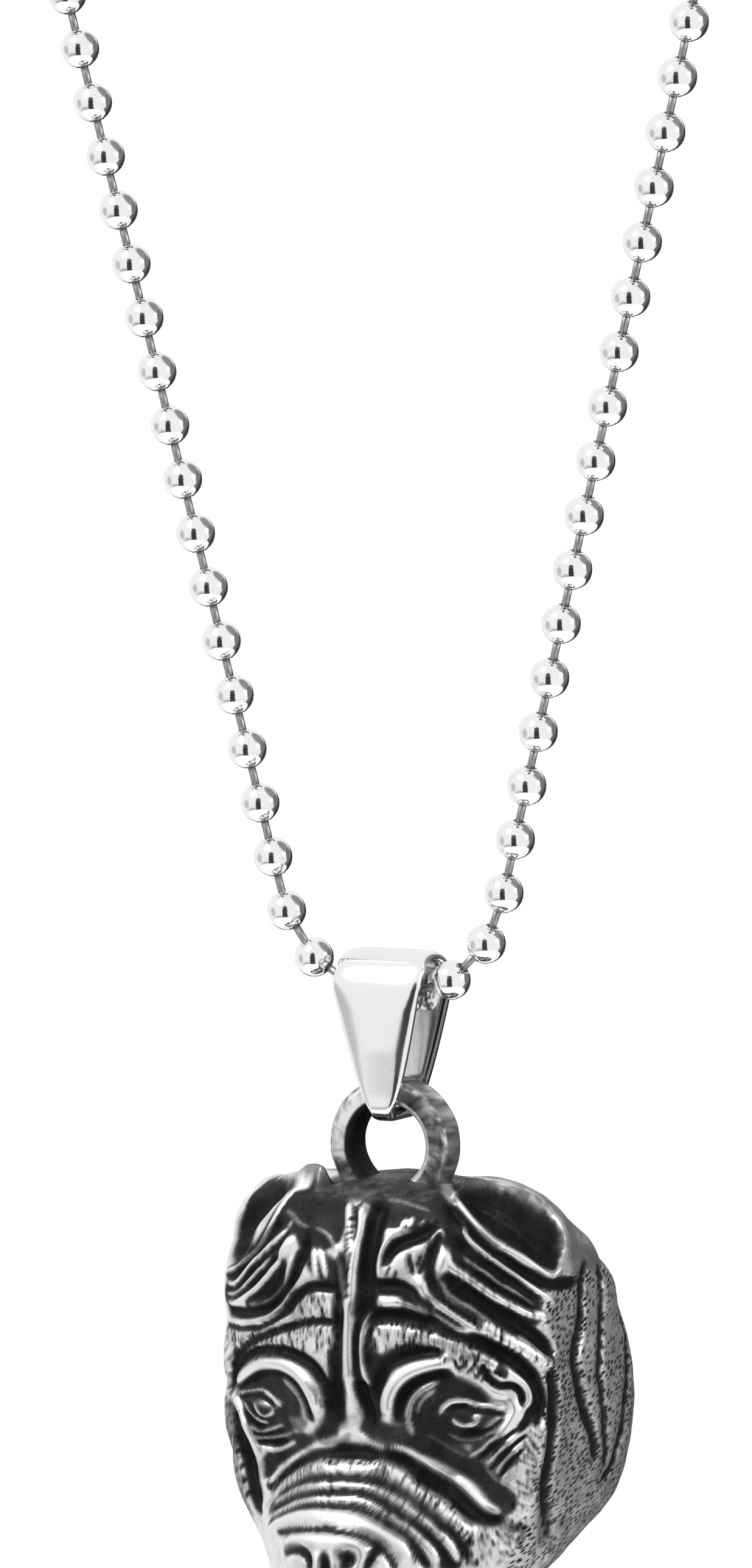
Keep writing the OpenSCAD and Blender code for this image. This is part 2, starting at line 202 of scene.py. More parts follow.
def spread(tree, value, low, high, to_low=0.0, to_high=1.0, **settings):
    """The value's span from low to high, spread over the span from to_low to to_high."""
    inputs = {"Value": value, "From Min": low, "From Max": high, "To Min": to_low, "To Max": to_high}
    return add_node(tree, "ShaderNodeMapRange", inputs, **settings).outputs["Result"]


def strip(turn, tilt, wide, soft, depth):
    """One black strip in the tent: its depth on it and 0 off it."""
    inputs = {0: sky_way, 1: towards(turn, tilt)}
    facing = add_node(sky, "ShaderNodeVectorMath", inputs, operation="DOT_PRODUCT").outputs["Value"]
    near, far = math.cos(math.radians(wide)), math.cos(math.radians(wide + soft))
    return spread(sky, facing, far, near, 0.0, depth, interpolation_type="SMOOTHSTEP")


# Columns: turn and tilt in degrees, half width, soft edge, depth of the black.
# The first five lie one above the other, a little to the left of the camera, and join into one tall strip.
strips = [
    (17, 18, 11, 6, 0.9), (17, 2, 13, 5, 0.95), (17, -14, 13, 5, 0.95), (17, -30, 13, 5, 0.95), (17, -44, 12, 5, 0.95),
    (181, -26, 28, 16, 0.95), (138, 40, 22, 14, 0.7), (140, 4, 20, 14, 0.8), (150, -32, 24, 14, 0.85),
    (-20, -60, 26, 20, 0.55), (-62, -6, 10, 14, 0.4),
]
shade = strip(*strips[0])
for row in strips[1:]:
    shade = maths(sky, "MAXIMUM", shade, strip(*row))
for_camera = add_node(sky, "ShaderNodeLightPath").outputs["Is Camera Ray"]
strength = maths(sky, "MAXIMUM", maths(sky, "SUBTRACT", 1.0, shade), for_camera)
sky.links.new(strength, tent.inputs["Strength"])
tent.inputs["Color"].default_value = grey(1)
bpy.context.scene.view_settings.view_transform = "Standard"
print("tent with", len(strips), "black strips")

# %% [markdown]
# ## Finishing a piece
#
# Each piece is made in a bmesh, in millimetres. One helper closes it up the same way every time:
# it turns the faces outwards, shades them smooth, scales to metres and hangs the piece on its CAD body.

# %% The helper
def finish_piece(bm, name, body, materials, replaces=None):
    bmesh.ops.recalc_face_normals(bm, faces=bm.faces)
    for face in bm.faces:
        face.smooth = True
    bmesh.ops.scale(bm, verts=bm.verts, vec=(MM, MM, MM))
    mesh = bpy.data.meshes.new(name)
    bm.to_mesh(mesh)
    triangles = sum(len(face.verts) - 2 for face in bm.faces)
    open_edges = sum(1 for edge in bm.edges if not edge.is_manifold)
    bm.free()
    for material in materials:
        mesh.materials.append(material)
    piece = link(name, mesh)
    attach(piece, body)
    if replaces:
        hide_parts(replaces)
    print(name, "has", triangles, "triangles and", open_edges, "open edges")


# %% [markdown]
# ## Chrome for the chain and the bail
#
# The beads and the bail are mirror polished. A perfect mirror looks like a computer's, so the roughness wanders
# a little and a very fine scratch bump breaks the reflections. The wires, and the holes they go into, are rougher,
# and their colour is darkened as painted shade between the beads. Inside the bail and on its back leaf's far edges,
# an attribute paints shade into the colour: a painted shadow inside, and painted dark edges.

# %% Chrome and dark wire
def clouds(tree, place, scale, detail):
    return add_node(tree, "ShaderNodeTexNoise", {"Vector": place, "Scale": scale, "Detail": detail}).outputs["Fac"]


def attribute(tree, name):
    return add_node(tree, "ShaderNodeAttribute", attribute_name=name).outputs["Fac"]


def roughen(tree, surface, height, strength, distance):
    bump = add_node(tree, "ShaderNodeBump", {"Height": height, "Strength": strength, "Distance": distance})
    tree.links.new(bump.outputs["Normal"], surface.inputs["Normal"])


def chrome(name, brightness, roughness, wander, scratch):
    material, tree, surface = new_material(name)
    place = add_node(tree, "ShaderNodeTexCoord").outputs["Object"]
    smear = spread(tree, clouds(tree, place, 260.0, 2.0), 0.35, 0.75, roughness, roughness + wander)
    tree.links.new(smear, surface.inputs["Roughness"])
    roughen(tree, surface, clouds(tree, place, 2600.0, 4.0), scratch, 0.00002)
    surface.inputs["Base Color"].default_value = grey(brightness)
    surface.inputs["Metallic"].default_value = 1.0
    return material, tree, surface


bright_bead, _, _ = chrome("bright bead", 0.86, 0.05, 0.06, 0.15)
# The wire's colour is darker than the beads' as painted shade between them; its higher roughness is its own finish.
shaded_wire, _, _ = chrome("shaded wire", 0.34, 0.35, 0.2, 0.3)
# The bail's colour runs from bright chrome to a darker painted shade, set by the attribute below.
BAIL_BRIGHT, BAIL_SHADED = 0.84, 0.03
bail_polish, bail_tree, bail_surface = chrome("bail polish", BAIL_BRIGHT, 0.09, 0.1, 0.2)
left_grey = spread(bail_tree, attribute(bail_tree, "painted_shade"), 0.0, 1.0, BAIL_BRIGHT, BAIL_SHADED)
bail_tree.links.new(left_grey, bail_surface.inputs["Base Color"])
print("chrome for the beads and the bail, and a shaded wire")

# %% [markdown]
# ## The ball chain
#
# A ball chain is a row of hollow beads joined by short wires. It is a closed loop: two straight strands
# between the small turn inside the bail and the wide turn over the nape. The same named sizes as the CAD's
# give each bead its place, so the smooth beads sit exactly on the solid ones.

# %% The loop's centre line
BEADS, PITCH, BEAD_D, LINK_D = 176, 3.4, 2.4, 0.5
LEAN, TURN_R, PHASE, NAPE_Z = math.radians(14.2), 7.8, 0.82, 1.75
loop_length = BEADS * PITCH
cot_lean = 1 / math.tan(LEAN)
nape_r = (loop_length + 2 * TURN_R * cot_lean - TURN_R * (math.pi - 2 * LEAN)) / (2 * cot_lean + math.pi + 2 * LEAN)
centre_drop = (nape_r - TURN_R) / math.sin(LEAN)
strand = centre_drop * math.cos(LEAN)
small_turn = TURN_R * (math.pi / 2 - LEAN)
arc_z = NAPE_Z - nape_r
turn_z = arc_z - centre_drop


def on_chain(s):
    """A point of the centre line, by the length s from its lowest point. Negative lengths are on the left."""
    side, s = math.copysign(1, s), abs(s)
    if s <= small_turn:
        angle = s / TURN_R
        x, z = TURN_R * math.sin(angle), turn_z - TURN_R * math.cos(angle)
    elif s <= small_turn + strand:
        along = s - small_turn
        x = TURN_R * math.cos(LEAN) + along * math.sin(LEAN)
        z = turn_z - TURN_R * math.sin(LEAN) + along * math.cos(LEAN)
    else:
        angle = (s - small_turn - strand) / nape_r - LEAN
        x, z = nape_r * math.cos(angle), arc_z + nape_r * math.sin(angle)
    return Vector((side * x, 0, z))


def bead_place(k):
    s = PHASE + k * PITCH
    return on_chain(s - loop_length if s > loop_length / 2 else s)


print("loop of", round(loop_length, 1), "mm, lowest bead near", tuple(round(v, 2) for v in bead_place(0)))

# %% [markdown]
# ### One bead
#
# A bead is a sphere with a small hole at each end, where the wire goes in. The sphere's poles lie on the chain,
# so the holes are made by pushing each pole and its first ring of points inwards. The surface stays closed.
# The wire is a thin cylinder from the bottom of one hole to the bottom of the next. The beads near the pendant
# are looked at closely and get more faces than the many others round the neck.

# %% Model the bead and its wire
HOLE_R, HOLE_FLOOR, HOLE_LIP = 0.4, 0.75, 0.02
ON_AXIS, FIRST_RING = 0.01, 0.5
CLOSE_TO_PENDANT = 75


def one_bead(around_axis, along_axis, with_wire):
    bm = bmesh.new()
    bmesh.ops.create_uvsphere(bm, u_segments=around_axis, v_segments=along_axis, radius=BEAD_D / 2)
    for vert in bm.verts:
        from_axis = math.hypot(vert.co.x, vert.co.y)
        side = math.copysign(1, vert.co.z)
        if from_axis < ON_AXIS:
            vert.co.z = side * HOLE_FLOOR
        elif from_axis < FIRST_RING:
            vert.co.x *= HOLE_R / from_axis
            vert.co.y *= HOLE_R / from_axis
            vert.co.z = side * (math.sqrt((BEAD_D / 2) ** 2 - HOLE_R ** 2) + HOLE_LIP)
    # The faces at the bottom of each hole take the wire's material, whose darker colour is painted shade in the hole.
    for face in bm.faces:
        face.material_index = int(any(math.hypot(v.co.x, v.co.y) < ON_AXIS for v in face.verts))
    if with_wire:
        made = bmesh.ops.create_cone(bm, cap_ends=True, segments=8, radius1=LINK_D / 2, radius2=LINK_D / 2,
                                     depth=PITCH - 2 * HOLE_FLOOR, matrix=Matrix.Translation((0, 0, PITCH / 2)))
        for face in {f for v in made["verts"] for f in v.link_faces}:
            face.material_index = 1
    mesh = bpy.data.meshes.new("one bead")
    bm.to_mesh(mesh)
    bm.free()
    return mesh


chain_bm = bmesh.new()
fine_bead, plain_bead, last_bead = one_bead(20, 14, True), one_bead(12, 8, True), one_bead(12, 8, False)
# No wire runs between the two end beads, which meet inside the sleeve.
for k in range(BEADS):
    here, there = bead_place(k), bead_place(k + 1)
    known = len(chain_bm.verts)
    far_off = min(k, BEADS - k) * PITCH > CLOSE_TO_PENDANT
    chain_bm.from_mesh(last_bead if k == BEADS // 2 - 1 else plain_bead if far_off else fine_bead)
    chain_bm.verts.ensure_lookup_table()
    bmesh.ops.transform(chain_bm, matrix=set_along(there - here, here), verts=chain_bm.verts[known:])
for mesh in (fine_bead, plain_bead, last_bead):
    bpy.data.meshes.remove(mesh)
finish_piece(chain_bm, "beads", "chain", [bright_bead, shaded_wire], "ball_chain")

# %% [markdown]
# ### The connector
#
# At the nape a sleeve holds the two end beads. Only its finish and its rolled ends are added here:
# a profile of the sleeve's wall is spun round the chain's direction.

# %% Spin the sleeve
def spun(profile, segments):
    """A closed profile of [radius, height] pairs, spun once round Z."""
    bm = bmesh.new()
    verts = [bm.verts.new((r, 0, h)) for r, h in profile]
    edges = [bm.edges.new((verts[i], verts[(i + 1) % len(verts)])) for i in range(len(verts))]
    bmesh.ops.spin(bm, geom=verts + edges, cent=(0, 0, 0), axis=(0, 0, 1), angle=2 * math.pi, steps=segments,
                   use_merge=True)
    bmesh.ops.remove_doubles(bm, verts=bm.verts, dist=0.0005)
    return bm


END_ROOM, END_WALL = 0.15, 0.35
half_sleeve = PITCH / 2 + BEAD_D / 2 + END_ROOM + END_WALL
# Columns: radius, and how far in from the sleeve's end. They go from the bore, round the rolled end, to the outside.
rolled_end = [(1.4, END_WALL), (0.5, 0.3), (0.5, 0.05), (0.62, 0), (1.3, 0), (1.55, 0.1), (1.7, 0.3), (1.75, 0.6),
              (1.69, 0.8), (1.75, 1.0)]
upper_half = [(radius, half_sleeve - inset) for radius, inset in rolled_end]
sleeve_bm = spun(upper_half + [(radius, -height) for radius, height in reversed(upper_half)], 40)
left_end, right_end = bead_place(BEADS // 2), bead_place(BEADS // 2 - 1)
bmesh.ops.transform(sleeve_bm, matrix=set_along(right_end - left_end, (left_end + right_end) / 2),
                    verts=sleeve_bm.verts)
finish_piece(sleeve_bm, "sleeve", "chain", [bright_bead], "connector")

# %% [markdown]
# ## The bail
#
# The bail is a strip of steel, wide over the chain and pinched to a narrow tongue inside the ring.
# A grid is bent round its closed path twice: once along the strip and once round its section,
# so a corner can be round and the front leaf can swell a little, as a pressed strip does.

# %% The strip's path and width
BAIL_W, TONGUE_W, STRIP_T, ARCH_R, FOOT_R = 6.0, 1.6, 0.75, 1.8, 1.1
RING_HOLE, RING_HALF = 2.5, 1.2
SIDE_GAP, BEND_GAP = 0.2, 0.12
TAPER_FROM, TAPER_LENGTH, TAPER_POWER = 2.3, 7.6, 0.75
bail_top = HINGE.z - RING.z
mid_arch = ARCH_R + STRIP_T / 2
mid_foot = RING_HALF + SIDE_GAP + STRIP_T / 2
foot_z = math.sqrt((RING_HOLE - BEND_GAP) ** 2 - (TONGUE_W / 2) ** 2) - STRIP_T / 2
foot_r = FOOT_R - STRIP_T / 2


def between(value, low=0.0, high=1.0):
    """How far the value has come from low to high, as a share from 0 to 1."""
    return min(1, max(0, (value - low) / (high - low)))


def bail_half(z):
    """Half the strip's width at a height over the ring's centre."""
    return (TONGUE_W + (BAIL_W - TONGUE_W) * between(z, TAPER_FROM, TAPER_FROM + TAPER_LENGTH) ** TAPER_POWER) / 2


def bail_path():
    """The strip's middle line from the side, as [y, z] pairs over the ring's centre, from the middle of the bend."""
    quarter = math.pi / 2
    side = [(y, foot_z) for y in np.linspace(0, mid_foot - foot_r, 4)[:-1]]
    side += [(mid_foot - foot_r + foot_r * math.sin(a), foot_z + foot_r - foot_r * math.cos(a))
             for a in np.linspace(0, quarter, 9)]
    low_y, low_z = side[-1]
    side += [(low_y + (mid_arch - low_y) * t, low_z + (bail_top - low_z) * t) for t in np.linspace(0, 1, 26)[1:-1]]
    side += [(mid_arch * math.cos(a), bail_top + mid_arch * math.sin(a)) for a in np.linspace(0, quarter, 15)]
    return side + [(-y, z) for y, z in reversed(side[1:-1])]


path = bail_path()
print("the strip's path has", len(path), "points, and its top is", round(bail_top, 2), "mm over the ring")

# %% Bend the strip
AROUND, CORNER, FLATNESS, LEAF_SWELL = 36, 0.24, 0.35, 0.28
# How much painted shade goes into the bail's colour: a little inside the strip, and more on the back leaf's far edges.
INSIDE_SHADE, EDGE_SHADE = 0.25, 0.8


def bar_side(turned, half):
    """One coordinate of a rounded bar's section: its straight half size, and a quarter circle at the corner."""
    return math.copysign(abs(turned) ** FLATNESS * (half - CORNER), turned) + CORNER * turned


bail_bm = bmesh.new()
bmesh.ops.create_grid(bail_bm, x_segments=len(path), y_segments=AROUND, size=1)
painted_shade_layer = bail_bm.verts.layers.float.new("painted_shade")
for vert in bail_bm.verts:
    i = round((vert.co.x + 1) / 2 * len(path)) % len(path)
    angle = 2 * math.pi * round((vert.co.y + 1) / 2 * AROUND) / AROUND
    (ya, za), (y, z), (yb, zb) = path[i - 1], path[i], path[(i + 1) % len(path)]
    along = Vector((0, yb - ya, zb - za)).normalized()
    out = Vector((0, along.z, -along.y))
    wide, inwards = bail_half(z), math.sin(angle)
    x, lift = bar_side(math.cos(angle), wide), bar_side(inwards, STRIP_T / 2)
    if inwards > 0:
        lift += LEAF_SWELL * (1 - (x / wide) ** 2) * between(z, 3, 6) * between(bail_top - z, -1, 1)
    # Painted shade: a shadow on the inner face near the middle, and dark far edges on the back leaf.
    if inwards < -0.2 and abs(x) < 0.46 * wide:
        vert[painted_shade_layer] = INSIDE_SHADE
    elif abs(x) > 0.84 * wide and y > 0.4 and z < bail_top + 1:
        vert[painted_shade_layer] = EDGE_SHADE
    vert.co = Vector((x, y, z)) + out * lift + RING
bmesh.ops.remove_doubles(bail_bm, verts=bail_bm.verts, dist=0.0005)
finish_piece(bail_bm, "strip", "bail", [bail_polish], "bail")

# %% [markdown]
# ## The head's plain form
#
# The head is one casting: a domed face, a neck behind it, and a hollow back. Before any fold is drawn we need
# the plain form, and it is the same one as in the CAD source: an outline that is read off at an angle,
# a dome over it, and a few large swellings such as the muzzle.
# All of it works on whole arrays of points at once, because the head has more than 80,000 of them.

# %% Outline, dome and forms
MIDDLE_Z, EDGE_Y, RIM_Y, DOME, FACE_SHARE = -14.5, 0.6, 9.4, 6.9, 0.76
# Columns: angle from level, reach of the face, reach of the neck's back rim, squareness of the dome.
outline = np.array([
    (-90, 15.6, 12.9, 2.6), (-70, 15.3, 13.0, 2.5), (-53, 14.2, 12.7, 2.4), (-36, 12.6, 12.8, 2.4),
    (-20, 11.7, 12.2, 2.4), (0, 11.3, 11.7, 2.3), (13, 11.5, 11.5, 2.2), (27, 12.6, 11.3, 2.1), (39, 14.0, 11.3, 2.0),
    (50, 14.4, 11.3, 2.1), (62, 13.9, 11.0, 2.5), (75, 12.7, 10.5, 3.0), (90, 12.6, 10.2, 3.4)])
# Columns: height towards the front, distance from the middle line, height on the head, half width, half height,
# sharpness. The low forms are too slight to change where a mark on the face lands.
forms = [(3.4, 0, -27.0, 8.6, 8.8, 1.0), (2.0, 0, -25.4, 5.2, 4.6, 1.3), (-1.0, 0, -16.6, 2.8, 3.2, 1.5),
         (-1.1, 7.2, -15.8, 4.4, 3.6, 1.5), (-1.6, 5.8, -19.4, 4.2, 3.2, 1.5)]
low_forms = [(0.9, 4.6, -27.2, 3.4, 2.2, 1.0), (-0.9, 0, -28.4, 4.5, 0.9, 1.2), (0.45, 7.5, -16.0, 1.5, 0.9, 1.0)]


def outline_at(angle, column):
    """A column of the outline at each angle, on a smooth curve through its rows."""
    rows, value = outline[:, 0], outline[:, column]
    slope = np.gradient(value, rows)
    i = np.clip(np.searchsorted(rows, angle, side="right") - 1, 0, len(rows) - 2)
    span = rows[i + 1] - rows[i]
    t = (angle - rows[i]) / span
    ends = t * t * (3 - 2 * t)
    bend = span * t * (1 - t) * ((1 - t) * slope[i] - t * slope[i + 1])
    return value[i] * (1 - ends) + value[i + 1] * ends + bend


def face_y(share, squareness, x, z, with_low=True):
    y = EDGE_Y - DOME * (1 - np.clip(share, 0, 1) ** squareness) ** (1 / squareness)
    for height, cx, cz, rx, rz, sharpness in forms + (low_forms if with_low else []):
        inside = 1 - ((np.abs(x) - cx) / rx) ** 2 - ((z - cz) / rz) ** 2
        y = y - height * np.where(inside > 0, np.maximum(inside, 1e-9) ** sharpness, 0)
    return y


def on_face(x, z):
    """Points of the face without its low forms."""
    angle = np.degrees(np.arctan2(z - MIDDLE_Z, np.abs(x)))
    share = np.hypot(x, z - MIDDLE_Z) / outline_at(angle, 1)
    return np.stack([x, face_y(share, outline_at(angle, 3), x, z, with_low=False), z], -1)


print("the plain face reaches", np.round(on_face(np.array([0.0]), np.array([-24.7]))[0], 2))

# %% [markdown]
# ## Laying a grid over the head
#
# The head starts as a flat square grid. Its middle three quarters become the face, and the rest is
# folded back round the edge to be the neck. A square that is bent round keeps its faces square nearly
# everywhere, with no pole in the middle of the face, where a fan of thin triangles would show in the polish.

# %% Fold the grid round the head
HALF_GRID = 144
ROUNDING, NECK_BULGE, RIM_FROM = 0.65, 0.5, 0.8
grid_bm = bmesh.new()
bmesh.ops.create_grid(grid_bm, x_segments=2 * HALF_GRID, y_segments=2 * HALF_GRID, size=1)
grid_bm.verts.ensure_lookup_table()
flat = np.array([vert.co[:2] for vert in grid_bm.verts])
column, row = np.rint((flat.T + 1) * HALF_GRID).astype(int)
across, upwards = column - float(HALF_GRID), row - float(HALF_GRID)
ring_no = np.maximum(abs(across), abs(upwards)) / HALF_GRID
with np.errstate(divide="ignore", invalid="ignore"):
    turned = np.where(abs(across) >= abs(upwards), np.where(across > 0, 0, 180) + 45 * upwards / across,
                      np.where(upwards > 0, 90, -90) - 45 * across / upwards)
turned = np.radians(np.where(ring_no == 0, 0, turned))
side_part, up_part = np.cos(turned), np.sin(turned)
level = np.degrees(np.arctan2(up_part, abs(side_part)))
reach, rim, squareness = (outline_at(level, k) for k in (1, 2, 3))
share = np.clip(ring_no / FACE_SHARE, 0, 1)
share = (1 - ROUNDING) * share + ROUNDING * np.sin(share * math.pi / 2)
face_x, face_z = share * reach * side_part, MIDDLE_Z + share * reach * up_part
face_depth = face_y(share, squareness, face_x, face_z)
back_share = np.clip((ring_no - FACE_SHARE) / (1 - FACE_SHARE), 0, 1)
ease = back_share * back_share * (3 - 2 * back_share)
rim_turn = np.maximum(0, (back_share - RIM_FROM) / (1 - RIM_FROM)) ** 2
neck = reach * (1 - ease) + rim * ease + NECK_BULGE * (np.sin(math.pi * back_share) - rim_turn)
neck_depth = face_depth * (1 - back_share) + RIM_Y * back_share
plain = np.where((ring_no > FACE_SHARE)[:, None],
                 np.stack([neck * side_part, neck_depth, MIDDLE_Z + neck * up_part], -1),
                 np.stack([face_x, face_depth, face_z], -1))
square = np.zeros((2 * HALF_GRID + 1, 2 * HALF_GRID + 1), int)
square[row, column] = np.arange(len(plain))


def grid_normals(points):
    """The way out of the surface at each point, from its neighbours in the square."""
    laid = points[square]
    out = np.cross(np.gradient(laid, axis=1), np.gradient(laid, axis=0))
    normal = np.zeros_like(points)
    normal[square.ravel()] = out.reshape(-1, 3)
    return normal / np.maximum(np.linalg.norm(normal, axis=1), 1e-9)[:, None]


# The casting isn't quite even: columns are height, radius, and the place that swells.
swells = [(0.7, 3.4, -10.4, 0.5, -4.2), (0.45, 4.0, -11.3, -1.0, -9.0), (0.45, 4.0, -11.3, -1.0, -13.0),
          (0.5, 4.0, -10.9, -1.0, -17.0), (0.4, 3.5, -9.8, -2.0, -21.0), (0.7, 3.4, 11.6, 6.0, -6.6),
          (1.3, 3.4, 12.3, 6.8, -8.3)]
swell = np.zeros(len(plain))
for height, radius, *place_mm in swells:
    off = np.sum((plain - place_mm) ** 2, axis=1)
    swell = np.maximum(swell, height * np.clip(1 - off / radius ** 2, 0, 1) ** 2)
plain = plain + grid_normals(plain) * swell[:, None]
plain_out = grid_normals(plain)
print(len(plain), "points, from", np.round(plain.min(0), 2), "to", np.round(plain.max(0), 2))

# %% [markdown]
# ## Where the camera sees a mark
#
# The folds below are marked one by one. Most marks are [distance from the middle, height] on a flat map of the face,
# which was looked at from the front quarter with no perspective. The ears and the neck are marked
# straight in the picture, as [right, up] of the ring's centre in millimetres.
# Both kinds are turned into a place in the camera's own picture, and then the point of the head that the camera
# sees at that place is looked up. That way a mark lands where it was seen, whatever the form below it.

# %% From a mark to a place on the head
MAP_TURN, MAP_TILT = math.radians(28), math.radians(6)
FACING, NEAREST, PAST_MIDDLE = 0.05, 4, 0.5
axes = np.array([right, up, back])
map_right, map_up, _ = (np.array(v) for v in view_axes(MAP_TURN, MAP_TILT, 0))


def in_picture(points):
    """Places in the camera's picture, in mm right of and above the ring's centre."""
    r, u, b = (points @ axes.T).T
    grow = DISTANCE / (DISTANCE - b)
    return np.stack([(ring_across + r) * grow - ring_across, (u - ring_down) * grow + ring_down], -1)


faces_camera = plain_out @ axes[2] > FACING
seen_points, seen_at = plain[faces_camera], in_picture(plain)[faces_camera]


def look_up(places):
    """The points of the plain head that the camera sees at these places."""
    found = []
    for place in places:
        off = np.sum((seen_at - place) ** 2, axis=1)
        near = np.argpartition(off, NEAREST)[:NEAREST]
        weight = 1 / (off[near] + 1e-4)
        found.append(weight / weight.sum() @ seen_points[near])
    return np.array(found)


def curve(places, steps=6):
    """A smooth line through the places."""
    p = np.vstack([places[:1], places, places[-1:]])
    t = (np.arange(steps) / steps)[:, None]
    line = [0.5 * (2 * b + (c - a) * t + (2 * a - 5 * b + 4 * c - d) * t ** 2 + (3 * b - a - 3 * c + d) * t ** 3)
            for a, b, c, d in zip(p, p[1:], p[2:], p[3:])]
    return np.vstack(line + [p[-1:]])


def from_map(marks, side):
    """The line of a row on the map. One that starts on the middle line runs over it, so that both sides join."""
    x, z = np.array(marks, float).T
    if x[0] == 0 and x[-1] > 1:
        x[x == 0] = -PAST_MIDDLE
    points = on_face(side * x, z)
    return curve(look_up(np.stack([points @ map_right, points @ map_up], -1)))


def from_picture(marks):
    return curve(look_up(np.array(marks, float)))


def from_solid(marks):
    """A line through the points of the plain head that are nearest to these places in the solid."""
    return curve(np.array([plain[np.argmin(np.sum((plain - mark) ** 2, axis=1))] for mark in np.array(marks, float)]))


print("a mark at the nose bridge lies at", np.round(from_map([(0, -10), (0, -12)], 1)[0], 2))

# %% [markdown]
# ## The folds
#
# The casting is covered with wrinkles: ridges that wear has rubbed bright, and grooves that
# keep the black. Each one is a row of these tables, with a few marks along it, as a carver would
# make them on wax before cutting.
# Columns: half width, height (negative where it is cut in), then the marks.
# Each side has its own rows, because the two sides of a hand-made face are never the same.

# %% Folds of the right side, as seen
right_ear = [
    (0.26, -0.42, (5.4, -3.2), (6, -3.7), (7, -4.6), (8.4, -5.8), (9.2, -6.45), (10, -7.1), (11, -8.1)),
    (0.13, 0.30, (6.6, -4.3), (7, -5.1), (7.6, -5.7), (8.4, -6.3), (9.2, -6.9), (9.9, -7.5), (10.5, -8.2),
     (11.2, -9.3)),
    (0.24, -0.38, (6.5, -5.3), (7, -5.8), (7.6, -6.25), (8.4, -6.8), (9, -7.3), (9.8, -7.9), (10.6, -8.8)),
    (0.10, 0.14, (6.9, -6.3), (7.6, -6.8), (8.4, -7.3), (9, -7.9), (9.8, -8.4), (10.6, -9.3)),
    (0.20, -0.34, (6.8, -6.75), (7.6, -7.2), (8.4, -7.8), (9.2, -8.4), (10, -9), (10.6, -9.6)),
    (0.22, 0.40, (5.9, -6.2), (6.3, -6.9), (7.2, -7.4), (8, -8), (8.8, -8.6), (9.6, -9.1), (10.4, -9.7),
     (11.1, -10.1)),
    (0.34, 0.30, (5.95, -5.9), (5.8, -6.6), (5.6, -7.3)),
    (0.32, -0.45, (6.2, -7.5), (7, -8.2), (8, -8.9), (9, -9.6), (10.2, -10.6), (10.9, -11.6), (11.1, -12.6)),
    (0.12, 0.12, (5.7, -7.6), (6.2, -8.4), (6.9, -8.95), (7.6, -9.3), (8.2, -9.8), (8.8, -10.3)),
]
